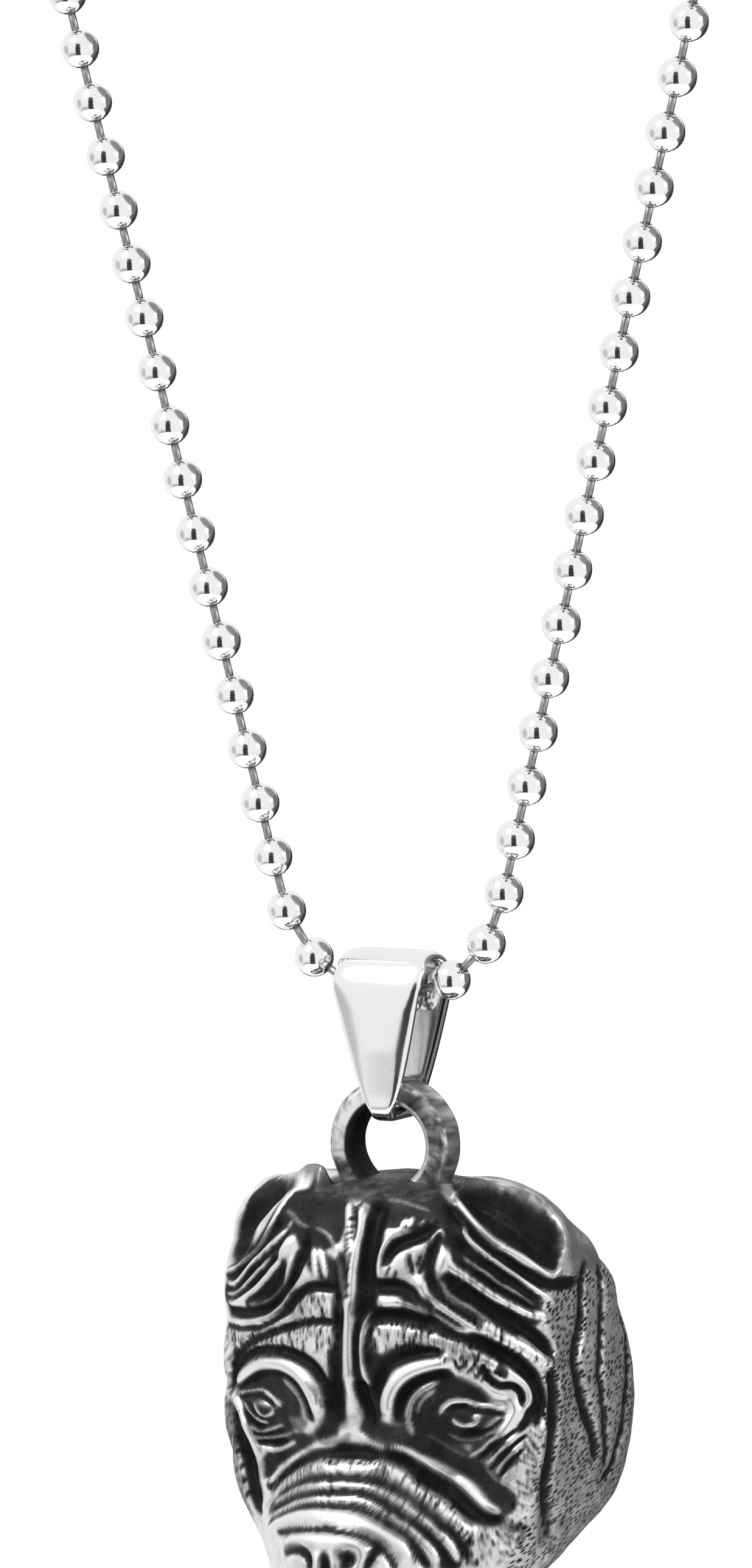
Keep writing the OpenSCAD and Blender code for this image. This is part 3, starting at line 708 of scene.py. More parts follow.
right_forehead = [
    (0.13, 0.07, (0.6, -2.95), (2, -3.05), (3.4, -3.35), (4.4, -3.6)),
    (0.20, 0.22, (-0.9, -3.3), (-0.5, -4.4), (-0.2, -5.6), (0.1, -7), (0.1, -8.6)),
    (0.20, 0.25, (0.1, -3.5), (0.35, -4.6), (0.3, -6.4), (0.2, -8), (0.15, -9.2)),
    (0.16, 0.20, (-1, -6.4), (-0.7, -7.4), (-0.5, -8.4), (-0.3, -9.6)),
    (0.08, -0.12, (-0.3, -3.6), (0.1, -4.6), (0.1, -5.6)),
    (0.08, -0.12, (0.1, -6.2), (-0.2, -7.4), (-0.1, -8.4)),
    (0.15, 0.32, (-0.05, -8.8), (-0.05, -12), (-0.1, -14.5), (0, -17.3)),
    (0.44, -0.60, (1.15, -3.2), (1.15, -6), (1.1, -9), (0.9, -10.4)),
    (0.20, -0.50, (0.9, -9.8), (0.62, -11), (0.6, -12.5), (0.6, -14)),
    (0.35, -0.50, (0.7, -14), (0.8, -15.3), (1.3, -16.6)),
    (0.14, 0.24, (1.5, -9.7), (1.15, -10.3), (0.95, -11.3), (0.9, -12.3), (1.05, -13.2), (1.5, -14.2)),
    (0.15, -0.30, (1.75, -10.5), (1.4, -11.2), (1.35, -12.2), (1.5, -13.2)),
    (0.28, -0.45, (5, -4.4), (4.2, -5), (3.2, -5.4), (2.5, -6), (2.3, -6.5)),
    (0.14, 0.24, (1.85, -7.6), (1.8, -6.8), (1.9, -6.1), (2.15, -5.5), (2.45, -5.05), (2.9, -4.65)),
    (0.16, 0.20, (2.95, -4.65), (3.1, -4.1)),
    (0.17, 0.22, (3.4, -4.6), (3.5, -4)),
    (0.12, 0.13, (4.1, -4.5), (4.3, -4.1)),
    (0.10, 0.10, (4.6, -4.4), (4.8, -4.1)),
    (0.10, -0.14, (3.75, -6.2), (3.9, -6.8), (4.1, -7.3)),
    (0.08, -0.12, (4.45, -6.2), (4.3, -6.8)),
    (0.06, -0.10, (2.4, -7.5), (2.6, -7)),
    (0.06, -0.10, (2.9, -7.7), (3.05, -7.2)),
    (0.09, 0.14, (4.95, -5.5), (5.1, -4.9), (5.45, -4.7), (5.7, -5.2)),
    (0.15, -0.30, (5.35, -5.1), (5.2, -6), (5.15, -7), (5.2, -7.8), (5.6, -8.4)),
    (0.12, -0.25, (4.9, -5.7), (4.75, -6.6), (4.45, -7.3)),
    (0.26, 0.24, (4.55, -7.5), (4.65, -8.1), (4.95, -8.7)),
    (0.07, -0.14, (4.45, -7.95), (4.65, -8.15)),
    (0.32, -0.50, (1.5, -8.15), (3, -8.1), (3.8, -8.4), (4.4, -8.9)),
    (0.26, 0.30, (2.2, -9.25), (2.9, -9.05), (3.6, -9.15)),
    (0.16, 0.18, (3.6, -9.15), (4.4, -9.45), (5.2, -9.7)),
    (0.12, 0.24, (5.1, -8.8), (5.9, -9.3), (6.7, -9.9), (7.5, -10.4), (8, -10.7)),
    (0.08, -0.20, (5.6, -9.5), (6.4, -10), (7.2, -10.5)),
    (0.09, 0.16, (5.4, -9.75), (6.1, -10.1), (6.9, -10.6), (7.4, -10.8)),
    (0.12, -0.30, (5.7, -8.6), (6.5, -9.3), (7.4, -9.9), (8.2, -10.5)),
    (0.32, 0.28, (8.2, -10.3), (9.2, -11.1), (10.1, -11.8), (10.8, -12.5), (11.2, -13.1)),
    (0.36, -0.60, (1.6, -10), (3, -9.95), (4.6, -10.15), (5.8, -10.6)),
    (0.20, -0.45, (5.4, -10.5), (6.6, -11), (7.6, -11.2)),
    (0.34, -0.55, (7.4, -11.2), (8.4, -11.6), (9.4, -12.2), (10.2, -13), (10.7, -14), (10.9, -15), (10.7, -16.2)),
]
right_eye = [
    (0.28, -0.42, (1.9, -15), (2.15, -13.9), (2.75, -12.95), (3.7, -12.45), (4.9, -12.15), (6, -12.2)),
    (0.36, 0.50, (2.7, -16.1), (2.78, -15), (3.1, -14.25), (3.7, -13.6), (4.5, -13.15), (5.5, -12.8), (6.5, -12.6)),
    (0.28, -0.45, (3.3, -16.2), (3.5, -15.2), (4, -14.3), (4.8, -13.75), (5.7, -13.4), (6.3, -13.5)),
    (0.15, 0.17, (4.1, -17.2), (3.95, -16.4), (3.95, -15.6), (4.25, -14.9), (4.9, -14.3), (5.7, -13.9)),
    (0.10, 0.15, (4.4, -15.9), (4.55, -15.3), (4.95, -14.75), (5.5, -14.35)),
    (0.13, 0.30, (5.6, -15.95), (5.8, -15.5), (6.3, -15.1), (7, -15.1), (7.8, -15.35), (8.6, -15.4), (9.4, -15.3)),
    (0.12, -0.30, (6.3, -15.55), (7, -15.45), (7.8, -15.65), (8.6, -15.8), (9.2, -15.9)),
    (0.13, 0.24, (6.35, -16.2), (6.55, -16.5), (7, -16.65), (7.5, -16.5), (7.8, -16.2)),
    # A painted highlight: this short ridge is a glint on the eye, painted bright and raised a little.
    (0.15, 0.26, (7.45, -16.1), (7.9, -16.05)),
    (0.09, -0.30, (7.42, -16.33), (7.52, -16.38)),
    (0.20, 0.12, (8.2, -16.7), (8.6, -16.45), (9, -16.2)),
    (0.07, -0.18, (8.72, -16.55), (8.8, -16.6)),
    (0.11, 0.10, (5.9, -17.1), (6.6, -17.5), (7.6, -17.45), (8.1, -17.2)),
    (0.10, -0.20, (7.2, -17.1), (8, -17), (8.6, -16.7), (9.1, -16.2)),
    (0.09, 0.14, (8.1, -17.2), (8.7, -16.9), (9.1, -16.5)),
    (0.13, 0.30, (8, -13.2), (8.1, -13.9), (8.5, -14.4), (9.1, -14.7), (9.6, -14.9)),
    (0.22, 0.34, (9.5, -15), (9.8, -15.5), (9.7, -16), (9.4, -16.6), (9, -17)),
    (0.17, -0.40, (8.2, -13), (8.5, -13.7), (9.05, -14.15), (9.7, -14.15), (10.1, -14.6), (10.15, -15.3)),
    (0.30, 0.26, (8.5, -12.6), (9.2, -13.1), (9.8, -13.6)),
    (0.13, 0.28, (9.6, -13.3), (10.2, -13.8), (10.5, -14.4), (10.5, -15), (10.2, -15.6)),
    (0.20, -0.40, (10.5, -15.6), (10.35, -16.3), (10, -16.9)),
    (0.08, -0.12, (7.2, -12.2), (7.3, -13)),
    (0.07, -0.10, (7.85, -12.1), (7.9, -12.8)),
    (0.06, -0.10, (6.7, -12.4), (6.9, -13.1)),
    (0.09, 0.18, (7, -18.6), (7.8, -18.1), (8.4, -17.6), (9, -17.2), (9.6, -16.9)),
    (0.09, -0.20, (7.6, -18.7), (8.5, -18), (9.4, -17.3), (9.9, -16.8)),
    (0.08, 0.18, (8.2, -19), (8.9, -18.3), (9.5, -17.7), (10.1, -17.1)),
    (0.09, -0.20, (8.4, -19.3), (9.2, -18.5), (9.8, -17.8), (10.3, -17.2)),
    (0.08, 0.16, (8.7, -19.6), (9.3, -18.8), (9.9, -18.1), (10.4, -17.5)),
    (0.09, -0.20, (9, -19.7), (9.6, -18.9), (10.2, -18.1)),
    (0.08, 0.09, (4.8, -17.2), (5.8, -18), (6.9, -18.6)),
    (0.07, 0.11, (8, -19), (8.5, -19.7), (8.9, -20.1)),
    (0.12, 0.18, (8.9, -20), (9.5, -20.3), (9.9, -20.7)),
]
right_muzzle = [
    (0.14, 0.34, (0.1, -17.2), (1, -17.65), (2, -17.95), (3.2, -18), (3.9, -18.4), (4.5, -18.95), (5, -19.35),
     (6, -19.85), (6.6, -20.15)),
    (0.26, 0.34, (6, -19.95), (6.6, -20.25), (7.1, -20.6), (7.7, -21.1), (8.3, -21.6), (8.9, -22.1)),
    (0.22, -0.50, (0, -18.35), (1.5, -18.4), (2.8, -18.6), (3.6, -19.2), (4.2, -19.7)),
    (0.36, -0.55, (4, -19.65), (5, -20.15), (6, -20.75), (7, -21.5), (8, -22.15), (8.9, -22.45)),
    (0.36, 0.24, (0, -19.2), (1.8, -19.15), (2.5, -19.3), (3.3, -19.7), (4, -20.25), (5, -20.95), (6, -21.55),
     (6.5, -22), (7, -22.7), (7.4, -23.6)),
    (0.20, -0.42, (0, -19.85), (1.6, -19.87), (2.2, -19.95), (3, -20.3), (4, -20.9), (5, -21.6), (6, -22.3),
     (6.6, -22.95), (7, -23.7), (7.3, -24.7)),
    (0.19, 0.34, (0, -20.27), (1, -20.27), (2, -20.35), (3, -20.77), (4, -21.4), (5, -22.1), (5.4, -22.4),
     (5.85, -22.95), (6.25, -23.45), (6.6, -24.1), (6.85, -24.9)),
    (0.17, -0.38, (0, -20.72), (1.8, -20.75), (3, -21.22), (4, -21.87), (5, -22.6), (5.6, -23.2), (6.1, -24),
     (6.5, -25)),
    (0.16, 0.32, (0, -21.14), (1.5, -21.16), (2.5, -21.45), (3.5, -22.05), (4.5, -22.75), (5, -23.2), (5.4, -23.7),
     (5.75, -24.3), (6, -25)),
    (0.18, -0.40, (0, -21.5), (1.5, -21.52), (2.5, -21.85), (3.5, -22.45), (4.5, -23.25), (4.85, -23.8),
     (5.25, -24.6), (5.5, -25.2)),
    (0.30, 0.28, (0, -22.1), (1.6, -22.15), (2.4, -22.5), (3.2, -23), (4, -23.5), (4.4, -24), (4.75, -24.8)),
    (0.07, -0.20, (4.55, -23.9), (4.75, -24.3), (4.95, -24.9)),
    (0.15, -0.38, (0, -22.8), (0.5, -22.8), (1.5, -22.95), (2.5, -23.25), (3, -23.55), (3.5, -23.95), (3.9, -24.6),
     (4.1, -25.3)),
]
nose_and_mouth = [
    (0.32, 0.30, (0, -23.5), (1.8, -23.6), (2.9, -24.1)),
    (0.40, -0.60, (0, -27.4), (2.4, -28.1), (4.8, -28.3), (6.9, -27.4)),
    (0.30, 0.25, (0.6, -26.8), (2.6, -27.3), (4.8, -27.3), (6.6, -26.4)),
]
right_side = right_ear + right_forehead + right_eye + right_muzzle + nose_and_mouth
print(len(right_side), "folds on the right")

# %% Folds of the left side, as seen
left_ear = [
    (0.25, -0.45, (5.8, -4.7), (6.5, -5.5), (7.2, -6.2), (8, -6.95), (8.8, -7.75), (9.6, -8.3), (10.9, -8.5)),
    (0.13, 0.26, (5, -5.1), (5.8, -5.8), (6.6, -6.4), (7.4, -7), (8.2, -7.7), (8.9, -8.4), (9.6, -8.8), (10.9, -9)),
    (0.15, -0.36, (5.4, -5.9), (6.2, -6.5), (7, -7.2), (7.8, -7.9), (8.6, -8.65), (9.4, -9.1), (10.8, -9.3)),
    (0.11, 0.22, (6.2, -6.9), (7, -7.6), (7.8, -8.3), (8.6, -9), (9.4, -9.4), (10.6, -9.55)),
    (0.15, -0.36, (5.6, -6.8), (6.3, -7.4), (7, -8.1), (7.8, -8.8), (8.6, -9.3), (9.6, -9.75), (10.9, -9.85)),
    (0.28, 0.36, (4.4, -5.5), (4.9, -6.2), (5.3, -6.9)),
    (0.17, 0.32, (5.2, -6.9), (6, -7.7), (6.7, -8.4), (7.4, -9), (8.3, -9.55), (9.3, -9.95), (11, -10.15)),
    (0.14, 0.20, (4.6, -6.6), (4.5, -7.3), (4.75, -8.1)),
    (0.20, -0.35, (5.1, -7.5), (5.3, -8.2), (6, -9), (6.8, -9.3)),
    (0.16, -0.30, (5.7, -7.9), (6.4, -8.7), (7.2, -9.4)),
    (0.10, 0.14, (5.2, -8.7), (5.9, -9.4), (6.8, -9.75), (7.8, -9.9)),
    (0.26, -0.50, (3.4, -5.5), (3.5, -6.4), (3.9, -7.3), (4.3, -8.2), (4.9, -9), (5.6, -9.65), (6.4, -10.1),
     (8, -10.4), (9.5, -10.5), (11, -10.6)),
    (0.12, 0.24, (3.3, -7.9), (3.9, -8.35), (4.5, -9), (5.1, -9.7), (5.6, -10.1), (6.3, -10.5), (7.2, -10.8),
     (8.5, -10.95), (11, -11.1)),
    (0.12, -0.30, (3.8, -8.9), (4.4, -9.6), (5, -10.3), (5.8, -10.8), (7, -11.25), (8.5, -11.4), (10.9, -11.6)),
]
left_forehead = [
    (0.14, 0.09, (5.5, -4), (4.8, -4.3), (4.2, -4.7), (3.4, -4.9)),
    (0.12, 0.11, (2.9, -4.9), (2, -5.2), (1.4, -5.7), (0.95, -6.2)),
    (0.17, 0.24, (2.75, -6.1), (2.5, -7.2), (2.3, -8)),
    (0.17, 0.24, (2.35, -6.1), (1.95, -6.9), (1.6, -7.8)),
    (0.12, 0.20, (3.15, -7.4), (3.3, -8.1)),
    (0.24, -0.50, (0.75, -6.4), (0.68, -9), (0.72, -12), (0.85, -14.5), (1, -16.3)),
    (0.20, -0.42, (0.9, -8.4), (2, -8.35), (3, -8.45), (3.7, -9), (4.3, -9.7), (4.9, -10.3)),
    (0.18, -0.42, (0.9, -10.5), (2.4, -10.5), (3.6, -10.75), (5, -11.2), (6.2, -11.6), (7.6, -12.2), (8.6, -12.9),
     (9.6, -14)),
]
left_eye = [
    (0.28, -0.42, (9.8, -15), (9.2, -14.2), (8.4, -13.5), (7.2, -12.85), (6, -12.6), (4.5, -12.55), (3.2, -12.9),
     (2.3, -13.5), (1.6, -14.6), (1.3, -15.8)),
    (0.34, 0.50, (9.2, -14.8), (8.2, -14), (7.2, -13.5), (6, -13.3), (4.8, -13.3), (3.8, -13.6), (2.95, -14.2),
     (2.4, -15), (2.1, -15.9)),
    (0.06, -0.15, (2.8, -14.2), (2.2, -14.9), (1.85, -15.8)),
    (0.11, 0.20, (2.6, -13.9), (1.95, -14.6), (1.6, -15.5)),
    (0.14, -0.40, (8.9, -15), (7.6, -14.4), (6.2, -14), (5, -13.95), (4, -14.4), (3.1, -15.3), (2.5, -16.6)),
    (0.13, 0.16, (4.9, -14.2), (4.2, -14.6), (3.6, -15.1), (3.1, -15.9), (2.9, -16.8)),
    (0.11, 0.17, (9.2, -15.5), (8, -15.3), (7, -15.1), (6.6, -15.15)),
    (0.12, 0.26, (6.8, -15.1), (6, -15.5), (5.2, -15.95)),
    (0.12, -0.26, (8.6, -15.6), (7.4, -15.4), (6.6, -15.6), (5.9, -16)),
    (0.10, 0.22, (7.75, -15.95), (7.3, -16.5), (6.8, -16.7), (6.2, -16.5), (5.95, -16.15)),
    # A painted highlight: this short ridge is a small glint on the eye.
    (0.05, 0.08, (7.1, -16.1), (6.9, -16.05)),
    (0.09, -0.22, (8.4, -15.9), (7.9, -16.3), (7.4, -16.8), (6.8, -16.95)),
    (0.10, 0.20, (8.6, -16), (8, -16.6), (7.3, -17), (6.6, -17.1)),
    (0.10, -0.24, (8.4, -16.7), (7.8, -17.3), (7, -17.4)),
    (0.10, 0.16, (8.1, -17.4), (7.4, -17.75), (6.5, -17.5), (5.2, -17.1)),
    (0.09, -0.20, (7.9, -17.9), (6.8, -17.85), (5.4, -17.5)),
    (0.10, 0.14, (7.9, -18.1), (6.8, -18.1), (5.5, -17.85), (4.4, -17.5)),
    (0.13, -0.26, (7.6, -18.4), (6.4, -18.35), (5.2, -18.1)),
    (0.12, 0.22, (7.4, -18.8), (6.2, -18.8), (5.2, -18.45), (4.2, -18.05)),
]
left_muzzle = [
    (0.15, 0.34, (0.2, -17.2), (1, -17.7), (2, -18), (3, -18.45), (4, -18.9), (5, -19.4), (6, -20.1), (6.65, -20.85)),
    (0.20, -0.45, (0, -18.35), (1.5, -18.5), (2.5, -18.75), (3.5, -19.15), (4.5, -19.6), (5.4, -20.1), (6.1, -20.8)),
    (0.34, 0.20, (0, -19.2), (1.3, -19.25), (2, -19.4), (3, -19.6), (3.65, -19.8), (4.65, -20.35), (5.6, -21)),
    (0.17, -0.36, (0, -19.85), (1.65, -19.95), (2.65, -20.15), (4, -20.65), (5.2, -21.3)),
    (0.18, 0.30, (0, -20.27), (1.3, -20.43), (2.1, -20.52), (3.5, -20.9), (4.6, -21.4), (5.3, -21.8)),
    (0.16, -0.36, (0, -20.7), (1.65, -20.85), (2.8, -21.08), (4.2, -21.6), (5.2, -22.1)),
    (0.16, 0.30, (0, -21.12), (1.35, -21.2), (2.5, -21.42), (3.6, -21.8), (4.9, -22.5)),
    (0.17, -0.40, (0, -21.47), (0.9, -21.52), (2.15, -21.7), (3, -21.95), (4.2, -22.4), (5.2, -23)),
    (0.32, 0.28, (0, -22.05), (1.8, -22.1), (3, -22.4), (4.25, -22.9), (5.5, -23.55)),
    (0.13, -0.32, (0, -22.8), (1, -22.87), (2, -23), (3, -23.2), (4, -23.4)),
]
left_cheek = [
    (0.24, 0.36, (9.7, -15.6), (9.2, -16.2), (8.7, -17), (8.3, -17.8), (7.9, -18.5), (7.5, -19.2)),
    (0.24, 0.16, (7.5, -19.2), (7.4, -20), (7.3, -21.2)),
    (0.34, -0.60, (9.5, -16.6), (9.05, -17.6), (8.7, -18.6), (8.3, -19.8), (7.8, -21), (7.1, -22.4)),
    (0.11, -0.22, (11.1, -18.4), (9.4, -18.2)),
    (0.11, -0.22, (11, -19.35), (9.3, -19.15)),
    (0.11, -0.22, (10.9, -20.3), (9, -20.1)),
    (0.11, -0.22, (10.7, -21.2), (8.8, -21)),
    (0.11, -0.22, (10.4, -21.9), (8.4, -21.75)),
]
left_side = left_ear + left_forehead + left_eye + left_muzzle + nose_and_mouth + left_cheek
print(len(left_side), "folds on the left")

# %% [markdown]
# ### Ears, nose and neck
#
# Their rows have the same columns, but their marks are in the picture, because the flat map is too slanted at
# the ears and the neck. The rims of the ears stand up from the crown, so they are marked as places in the solid.
# The neck's long grooves are marked on the side that shows and cut on both.

# %% Rows marked in the picture and in the solid
ears = [
    (1.00, -0.90, (4.2, -2.7), (6, -3.7), (7.8, -4.7), (9.4, -6.2)),
    (0.70, -0.70, (6, -3.3), (8, -4.4), (9.8, -5.9), (10.1, -6.8)),
    (0.17, 0.45, (2.5, -1.95), (3, -2.5), (3.9, -3.5), (4.8, -4.8), (6, -6.1), (7.8, -7), (9, -7.9), (9.9, -8.1),
     (10.8, -7.8)),
    (0.26, -0.50, (8.4, -7.9), (9.2, -8.5), (10.1, -8.65), (11, -8.45)),
    (0.80, -0.80, (-6.8, -2.6), (-8.4, -3.9), (-9.4, -5.5), (-9.7, -6.8)),
    (0.13, 0.50, (-4.9, -2), (-5.8, -2.6), (-6.7, -3.5), (-7.4, -4.6), (-8, -5.7), (-8.9, -6.8), (-9.9, -7.6),
     (-10.6, -7.9)),
    (0.08, 0.08, (4.3, -2.7), (6, -3.9), (7.8, -5.1), (9.2, -6.7)),
    (0.07, 0.06, (5, -2.9), (7, -4), (8.8, -5.2), (9.8, -6.6)),
    (0.07, 0.07, (8, -4.5), (8.9, -4.8), (9.5, -5.5)),
    (0.07, 0.06, (-7.4, -4.2), (-8.2, -5.4), (-9, -6.3)),
    (0.07, 0.05, (-8, -3.9), (-8.8, -4.9), (-9.3, -5.9)),
    (0.07, -0.15, (5.2, -2.3), (7, -2.8), (8.8, -3.75), (10.2, -4.9)),
]
nose = [
    (0.22, -0.45, (-6.75, -24.95), (-6.3, -24.75), (-5.75, -24.9), (-5.4, -25.3), (-5.3, -26)),
    (0.16, 0.25, (-6.6, -25.5), (-6.1, -25.4)),
    (0.24, -0.50, (-4.45, -25.1), (-4.4, -26.2), (-4.4, -27.4)),
    (0.34, -0.50, (-3.3, -25.2), (-2.9, -25.4), (-3.1, -25.9)),
    (0.10, 0.22, (-3.3, -24.9), (-2.6, -24.7), (-2.1, -25.1), (-2.3, -25.6)),
    (0.10, -0.25, (-2.3, -24.45), (-1.9, -24.7), (-1.6, -25.1)),
    (0.20, -0.40, (-0.95, -24.5), (-1.35, -25.2), (-1.8, -26)),
]
necklines = [
    (0.24, -0.55, (11.6, -7.3), (11.4, -8.9), (11.4, -10.4), (11.15, -11.9), (10.95, -13.1), (11.1, -14.4),
     (11.4, -15.7), (11.7, -16.9), (12.1, -17.9), (12.2, -19.2)),
    (0.17, -0.45, (12.4, -7.5), (12.55, -8.5), (12.65, -9.6), (12.55, -10.9), (12.5, -13.4), (12.55, -14.6),
     (12.65, -15.9), (12.8, -17.2), (12.85, -18.4), (12.8, -19.7)),
    (0.20, -0.50, (13.9, -9.2), (14, -10.2), (14.1, -11.7), (14.2, -13), (14.2, -14.3), (14.1, -15.5), (14, -16.5),
     (13.8, -17.8), (13.5, -18.8), (13.2, -19.8), (12.7, -20.5)),
    (0.28, -0.80, (9.5, -13.9), (9.7, -15), (9.65, -16.5), (9.63, -17.8), (9.5, -19), (9.3, -20), (9.2, -20.9),
     (9.25, -22.2), (9.2, -23.8)),
]
right_rim = [(4.9, -1.9, -2.4), (5.8, -1.3, -2.4), (6.8, -0.6, -2.6), (8.4, 0.5, -3.2), (9.8, 1.2, -4.1),
             (10.9, 1.4, -5), (11.7, 1, -6.2), (12, 0.4, -7.4)]
left_rim = [(-3.6, -2.5, -2.4), (-4.4, -2.1, -2.4), (-5.2, -1.7, -2.4), (-6.8, -0.6, -2.6), (-8.4, 0.5, -3.2),
            (-9.8, 1.2, -4.1), (-10.9, 1.4, -5), (-11.7, 1, -6.2), (-12, 0.4, -7.4)]
print(len(ears), "rows for the ears,", len(nose), "for the nose and", len(necklines), "for the neck")

# %% [markdown]
# ## Where it is rubbed and where it stays black
#
# The steel is blackened and then polished, so everything that stands up is bright and everything low
# stays dark. A height map alone can't say it, because whole hollows stay black too, such as the ear cups,
# the crown and the eye sockets. Those are brushed in here, like a painter's wash.
# Columns: brightness, half width of the brush, then marks, in the picture for the ears and on the map otherwise.

# %% Washes
picture_wash = [
    (0.05, 1.00, (4, -2.5), (6, -3.6), (7.8, -4.7), (9.3, -6.1)),
    (0.05, 0.70, (4.6, -3.3), (6, -4.8), (8, -6.2), (9.8, -7)),
    (0.05, 0.50, (4.2, -2.6), (5.8, -3.2), (7.6, -4.2), (9, -5), (10, -6), (10, -6.8)),
    (0.05, 0.80, (6.5, -3.2), (8.2, -4.2), (9.7, -5.3), (10.2, -6.6)),
    (0.05, 0.60, (7, -5.4), (8.6, -6.8), (9.8, -7.2)),
    (0.05, 0.45, (9.2, -4.6), (9.9, -5.4), (10.15, -6.1), (10.1, -6.8)),
    (0.12, 0.90, (-6.9, -2.3), (-8.3, -3.7), (-9, -5.4), (-9.3, -6.7)),
    (0.12, 0.50, (-7.6, -2.3), (-8.9, -3.7), (-9.5, -5.2), (-9.7, -6.6)),
    (0.06, 0.50, (-3, -2.4), (-4, -2.6), (-5, -3.1)),
]
right_wash = [
    (0.06, 0.75, (0, -2.3), (1.5, -2.4), (3, -2.5), (4.6, -3.2)),
    (0.10, 0.55, (0.4, -2.9), (2, -3.2), (4, -3.5), (5.2, -4.3)),
    (0.08, 0.60, (4.9, -3.4), (5.7, -4.6), (6.2, -5.4)),
    (0.12, 0.60, (1.3, -3.4), (1.3, -6), (1.35, -9.2)),
    (0.55, 0.60, (-0.1, -3.8), (0.1, -5), (0, -7), (0, -9.5)),
    (0.08, 0.85, (5.8, -4.2), (6.8, -5.3), (8, -6.4), (9.3, -7.5), (10.6, -8.8)),
    (0.08, 0.80, (6.6, -6.6), (7.6, -7.4), (9, -8.5), (10.5, -9.8)),
    (0.10, 0.65, (6.2, -7.9), (7.2, -8.8), (8.4, -9.7), (9.8, -10.5)),
    (0.10, 0.60, (2, -3.7), (3.4, -4.2), (4.6, -4.3), (5.5, -4.9)),
    (0.10, 0.45, (2, -4.3), (2.6, -4.3)),
    (0.10, 0.50, (4.9, -4.8), (3.6, -5.4), (2.3, -5.9), (2.2, -6.5)),
    (0.78, 0.38, (2.2, -7.45), (3.1, -7.1), (3.5, -6.6), (4.2, -6)),
    (0.72, 0.32, (3.2, -7.4), (3.9, -7.3), (4.3, -6.8)),
    (0.10, 0.40, (5.2, -5.4), (5.2, -6.6), (5.2, -7.8), (5.8, -8.6)),
    (0.08, 0.50, (1.4, -8.3), (2.8, -8.2), (4, -8.7), (5, -9.3)),
    (0.08, 0.55, (1.7, -10), (3.4, -9.8), (5, -10.1), (6.4, -10.6)),
    (0.10, 0.45, (2, -13.4), (2.8, -12.5), (4, -12), (5.4, -12.1)),
    (0.08, 0.65, (2, -12.9), (2.1, -14.6), (1.5, -16.2), (1.2, -17)),
    (0.12, 0.50, (1.5, -11.6), (1.6, -13.2), (1.4, -15)),
    (0.12, 1.30, (4.4, -15.2), (5.8, -14.6), (7.2, -15.4), (7.4, -16.6), (5.6, -17), (4.4, -16.2)),
    (0.14, 0.75, (1.2, -17), (3.2, -17.4), (5, -18), (6.8, -19), (8.2, -20), (9.2, -21.4)),
    (0.85, 0.50, (6.2, -12.8), (7.2, -13), (7.9, -12.8)),
    (0.28, 0.70, (7.8, -18.2), (9, -17.9)),
    (0.32, 0.55, (8.8, -19.2), (9.6, -18.6)),
    (0.10, 0.40, (10, -12.6), (10.7, -13.6), (10.9, -14.8), (10.7, -16.2)),
    (0.08, 0.60, (0, -18.4), (2.8, -18.7), (4.4, -19.8), (6.4, -21.2), (8.4, -22.3)),
    (0.06, 0.75, (0, -20.65), (1.8, -20.65), (3, -21.2), (4, -21.85), (5, -22.5), (5.7, -23.15), (6.2, -24),
     (6.5, -24.9)),
    (0.12, 0.50, (8.7, -17.6), (9.4, -18.6)),
]
left_wash = [
    (0.06, 0.75, (0, -2.3), (2, -2.5), (3.6, -3), (5, -3.4)),
    (0.10, 0.60, (1.1, -3.7), (2.2, -3.9), (3.4, -4.4), (4.2, -4.9)),
    (0.14, 0.50, (1.2, -4.3), (1.9, -4.5), (2.7, -4.7)),
    (0.14, 0.50, (1.2, -4.6), (1.4, -5.4), (2.2, -5.7)),
    (0.55, 1.00, (10.6, -17), (10.2, -20), (9.6, -22.6)),
    (0.08, 0.90, (2, -3.2), (3.6, -3.9), (5.2, -3.7), (5.8, -4.4)),
    (0.08, 0.75, (4.4, -3.4), (5.4, -4.2), (6.2, -5)),
    (0.08, 0.45, (6.4, -5), (7.4, -6.3), (8.6, -7.4), (10.4, -8.3)),
    (0.10, 0.70, (5.2, -5.6), (6.4, -6.8), (7.8, -8.2), (9.2, -9.3), (10.8, -9.6)),
    (0.10, 0.60, (5.2, -7.4), (5.7, -8.6), (6.6, -9.3), (7.6, -9.9)),
    (0.14, 0.80, (3.3, -5.6), (2.4, -6.8), (1.4, -7.4)),
    (0.10, 0.55, (1.4, -5.2), (2.8, -5.3), (3.8, -5.2)),
    (0.10, 0.45, (3.7, -6.6), (4.2, -8.2), (5.2, -9.6), (6.6, -10.3)),
    (0.10, 0.35, (0.9, -8.4), (2.6, -8.4), (3.8, -9)),
    (0.10, 0.55, (1.3, -14.4), (1.3, -16), (1.6, -17.2)),
    (0.10, 0.45, (1, -12.6), (0.9, -14.8), (1, -16.4)),
    (0.12, 1.00, (3.8, -15.4), (5.2, -14.7), (6.8, -14.7), (8.2, -15.2)),
    (0.14, 0.85, (4, -16.2), (5.4, -16.8), (6.8, -16.8), (8, -16.6)),
    (0.12, 0.60, (4.6, -17.9), (6.2, -18.1), (7.5, -18)),
    (0.12, 0.60, (1.6, -17.3), (3.6, -18), (5.2, -18.6), (6.4, -19.3), (6.9, -20)),
    (0.10, 0.50, (9.2, -17.2), (8.6, -18.8), (8, -20.6), (7.3, -22.2)),
    (0.08, 0.40, (0, -18.4), (3, -18.9), (5.2, -19.8), (6.4, -20.9)),
    (0.10, 0.70, (0, -20.65), (1.8, -20.8), (3.4, -21.15)),
    (0.30, 0.60, (3.8, -21.3), (5.2, -21.95)),
    (0.42, 0.45, (3.1, -15.6), (3.2, -16.8), (4.2, -16.9)),
]
print(len(picture_wash), "washes on the ears and", len(right_wash) + len(left_wash), "on the face")

